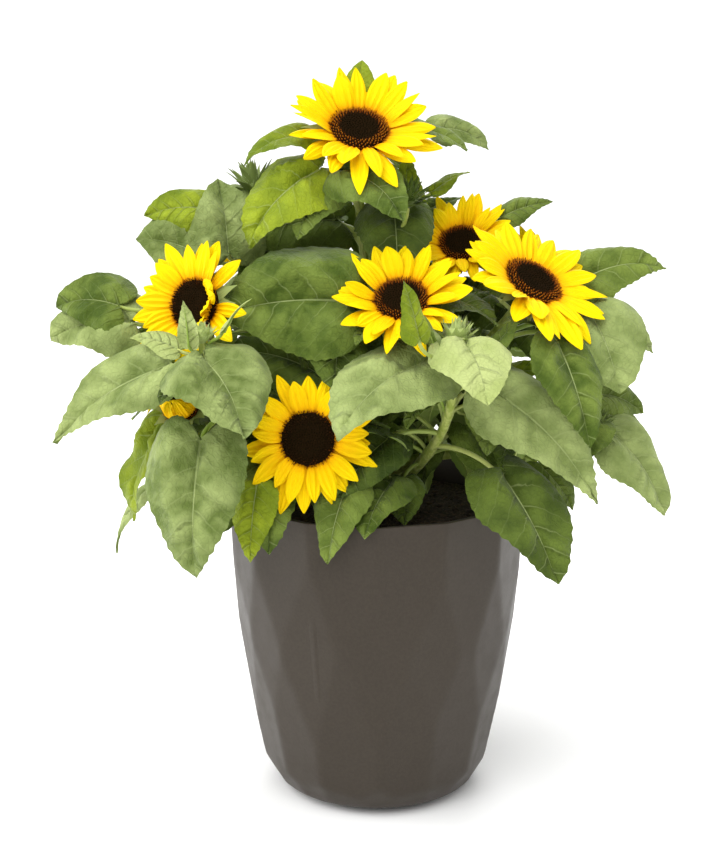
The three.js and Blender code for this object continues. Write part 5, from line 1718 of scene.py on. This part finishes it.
def petal_finish():
    """Yellow petal, red-brown and orange at its root, paler at its tip, grooved along its length, with
    painted orange shade in its grooves.
    """
    material, tree, shader = new_finish("petal_yellow", roughness=0.6, gloss=0.08)
    spot = own_spot(tree)
    parts = add_node(tree, "ShaderNodeSeparateXYZ", {"Vector": spot})
    grain = add_node(tree, "ShaderNodeMapping", {"Vector": spot, "Scale": (1, 0.12, 1)}).outputs["Vector"]
    streaks = noise(tree, grain, scale=22)
    ragged = calc(tree, "MULTIPLY", calc(tree, "SUBTRACT", streaks, 0.5), 0.25)
    along = calc(tree, "ADD", parts.outputs["Y"], ragged)
    colour = blend(tree, ramp(tree, along, 0.05, 0.19), PETAL_ROOT, PETAL_ORANGE)
    colour = blend(tree, ramp(tree, along, 0.10, 0.38), colour, PETAL_YELLOW)
    colour = blend(tree, ramp(tree, along, 0.36, 0.9), colour, PETAL_TIP)
    colour = blend(tree, own_shade(tree), colour, PETAL_GOLD)
    groove_and_shade = calc(tree, "PINGPONG", calc(tree, "MULTIPLY", parts.outputs["X"], 3.0), 0.5)
    groove_and_shade = ramp(tree, groove_and_shade, 0.3, 0.5)
    lined = ramp(tree, streaks, 0.25, 0.5, 0.3, 0)
    # Painted shade: the grooves are tinted orange.
    lined = calc(tree, "MAXIMUM", lined, calc(tree, "MULTIPLY", groove_and_shade, 0.14))
    paint(tree, shader, blend(tree, lined, colour, PETAL_ORANGE))
    raised = calc(tree, "SUBTRACT", streaks, calc(tree, "MULTIPLY", groove_and_shade, 0.3))
    emboss(tree, shader, raised, depth=0.0007, strength=0.7)
    return material


def disc_finish():
    """Dark seed bed on the face of the disc and green cup behind it, by the height of each ring."""
    material, tree, shader = new_finish("disc_and_cup", roughness=0.9, gloss=0.04)
    place = object_place(tree)
    seed_bed = blend(tree, noise(tree, place, scale=600), DISC_DARK, DISC_BROWN)
    paint(tree, shader, blend(tree, ramp(tree, own_shade(tree), 0.6, 3.0), CUP_GREEN, seed_bed))
    emboss(tree, shader, noise(tree, place, scale=900), depth=0.0006, strength=0.6)
    return material


def floret_finish():
    """Florets that ripen from near black through red-brown, with amber tips on the ripest."""
    material, tree, shader = new_finish("florets", roughness=0.85, gloss=0.03)
    ripe = own_shade(tree)
    height = add_node(tree, "ShaderNodeSeparateXYZ", {"Vector": own_spot(tree)}).outputs["Y"]
    colour = blend(tree, ramp(tree, ripe, 0.1, 0.5), DISC_DARK, DISC_BROWN)
    colour = blend(tree, ramp(tree, ripe, 0.5, 0.9), colour, FLORET_RED)
    tip_share = calc(tree, "MULTIPLY", ramp(tree, ripe, 0.72, 1.0), ramp(tree, height, 0.5, 1.0))
    paint(tree, shader, blend(tree, tip_share, colour, FLORET_AMBER))
    return material


def bract_finish():
    """Green bracts and bud knobs, paler on the young buds, and streaked along their length."""
    material, tree, shader = new_finish("bract_green", roughness=0.65, gloss=0.14, down=0.08)
    grain = add_node(tree, "ShaderNodeMapping", {"Vector": own_spot(tree), "Scale": (1, 0.1, 1)})
    streaks = ramp(tree, noise(tree, grain.outputs["Vector"], scale=20, detail=2), 0.4, 0.7, 0, 0.4)
    green = blend(tree, own_shade(tree), BUD_COLOUR, BUD_PALE)
    paint(tree, shader, blend(tree, streaks, green, CUP_GREEN))
    return material


def hair_finish():
    """Pale silky hairs."""
    material, tree, shader = new_finish("bud_hairs", roughness=0.6)
    tone = noise(tree, object_place(tree), scale=100, detail=1)
    paint(tree, shader, blend(tree, tone, HAIR_COLOUR, BUD_PALE))
    return material


petals, cups, florets = Bundle(), Bundle(), Bundle()
for index, plan in enumerate(SHOOTS):
    if "bloom" in plan:
        draw = seeded(BLOOM_SEED + index)
        own = [(0.93 + 0.1 * draw(), 10 * (draw() - 0.5)) for _ in range(PETALS)]
        draw = seeded(PETAL_SEED + index)
        add_petals(petals, plan, own, draw)
        add_cup(cups, bracts, plan, draw)
        add_florets(florets, plan, draw)

bloom_nodes = [f"bloom_{plan['name']}" for plan in blooming]
petal_piece = petals.build("petals", petal_finish())
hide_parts(*bloom_nodes)
cup_piece = cups.build("seed_discs_and_cups", disc_finish())
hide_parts(*bloom_nodes)
floret_piece = florets.build("florets", floret_finish())
green_bracts = bract_finish()
bract_piece = bracts.build("bracts", green_bracts)
knob_piece = knobs.build("bud_knobs", green_bracts)
hair_piece = hairs.build("bud_hairs", hair_finish())
shoot_piece = shoots.build("shoot_stems", stem_finish("shoot_stem", woody=0.2))
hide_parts(*[f"leaves_{plan['name']}" for plan in SHOOTS])
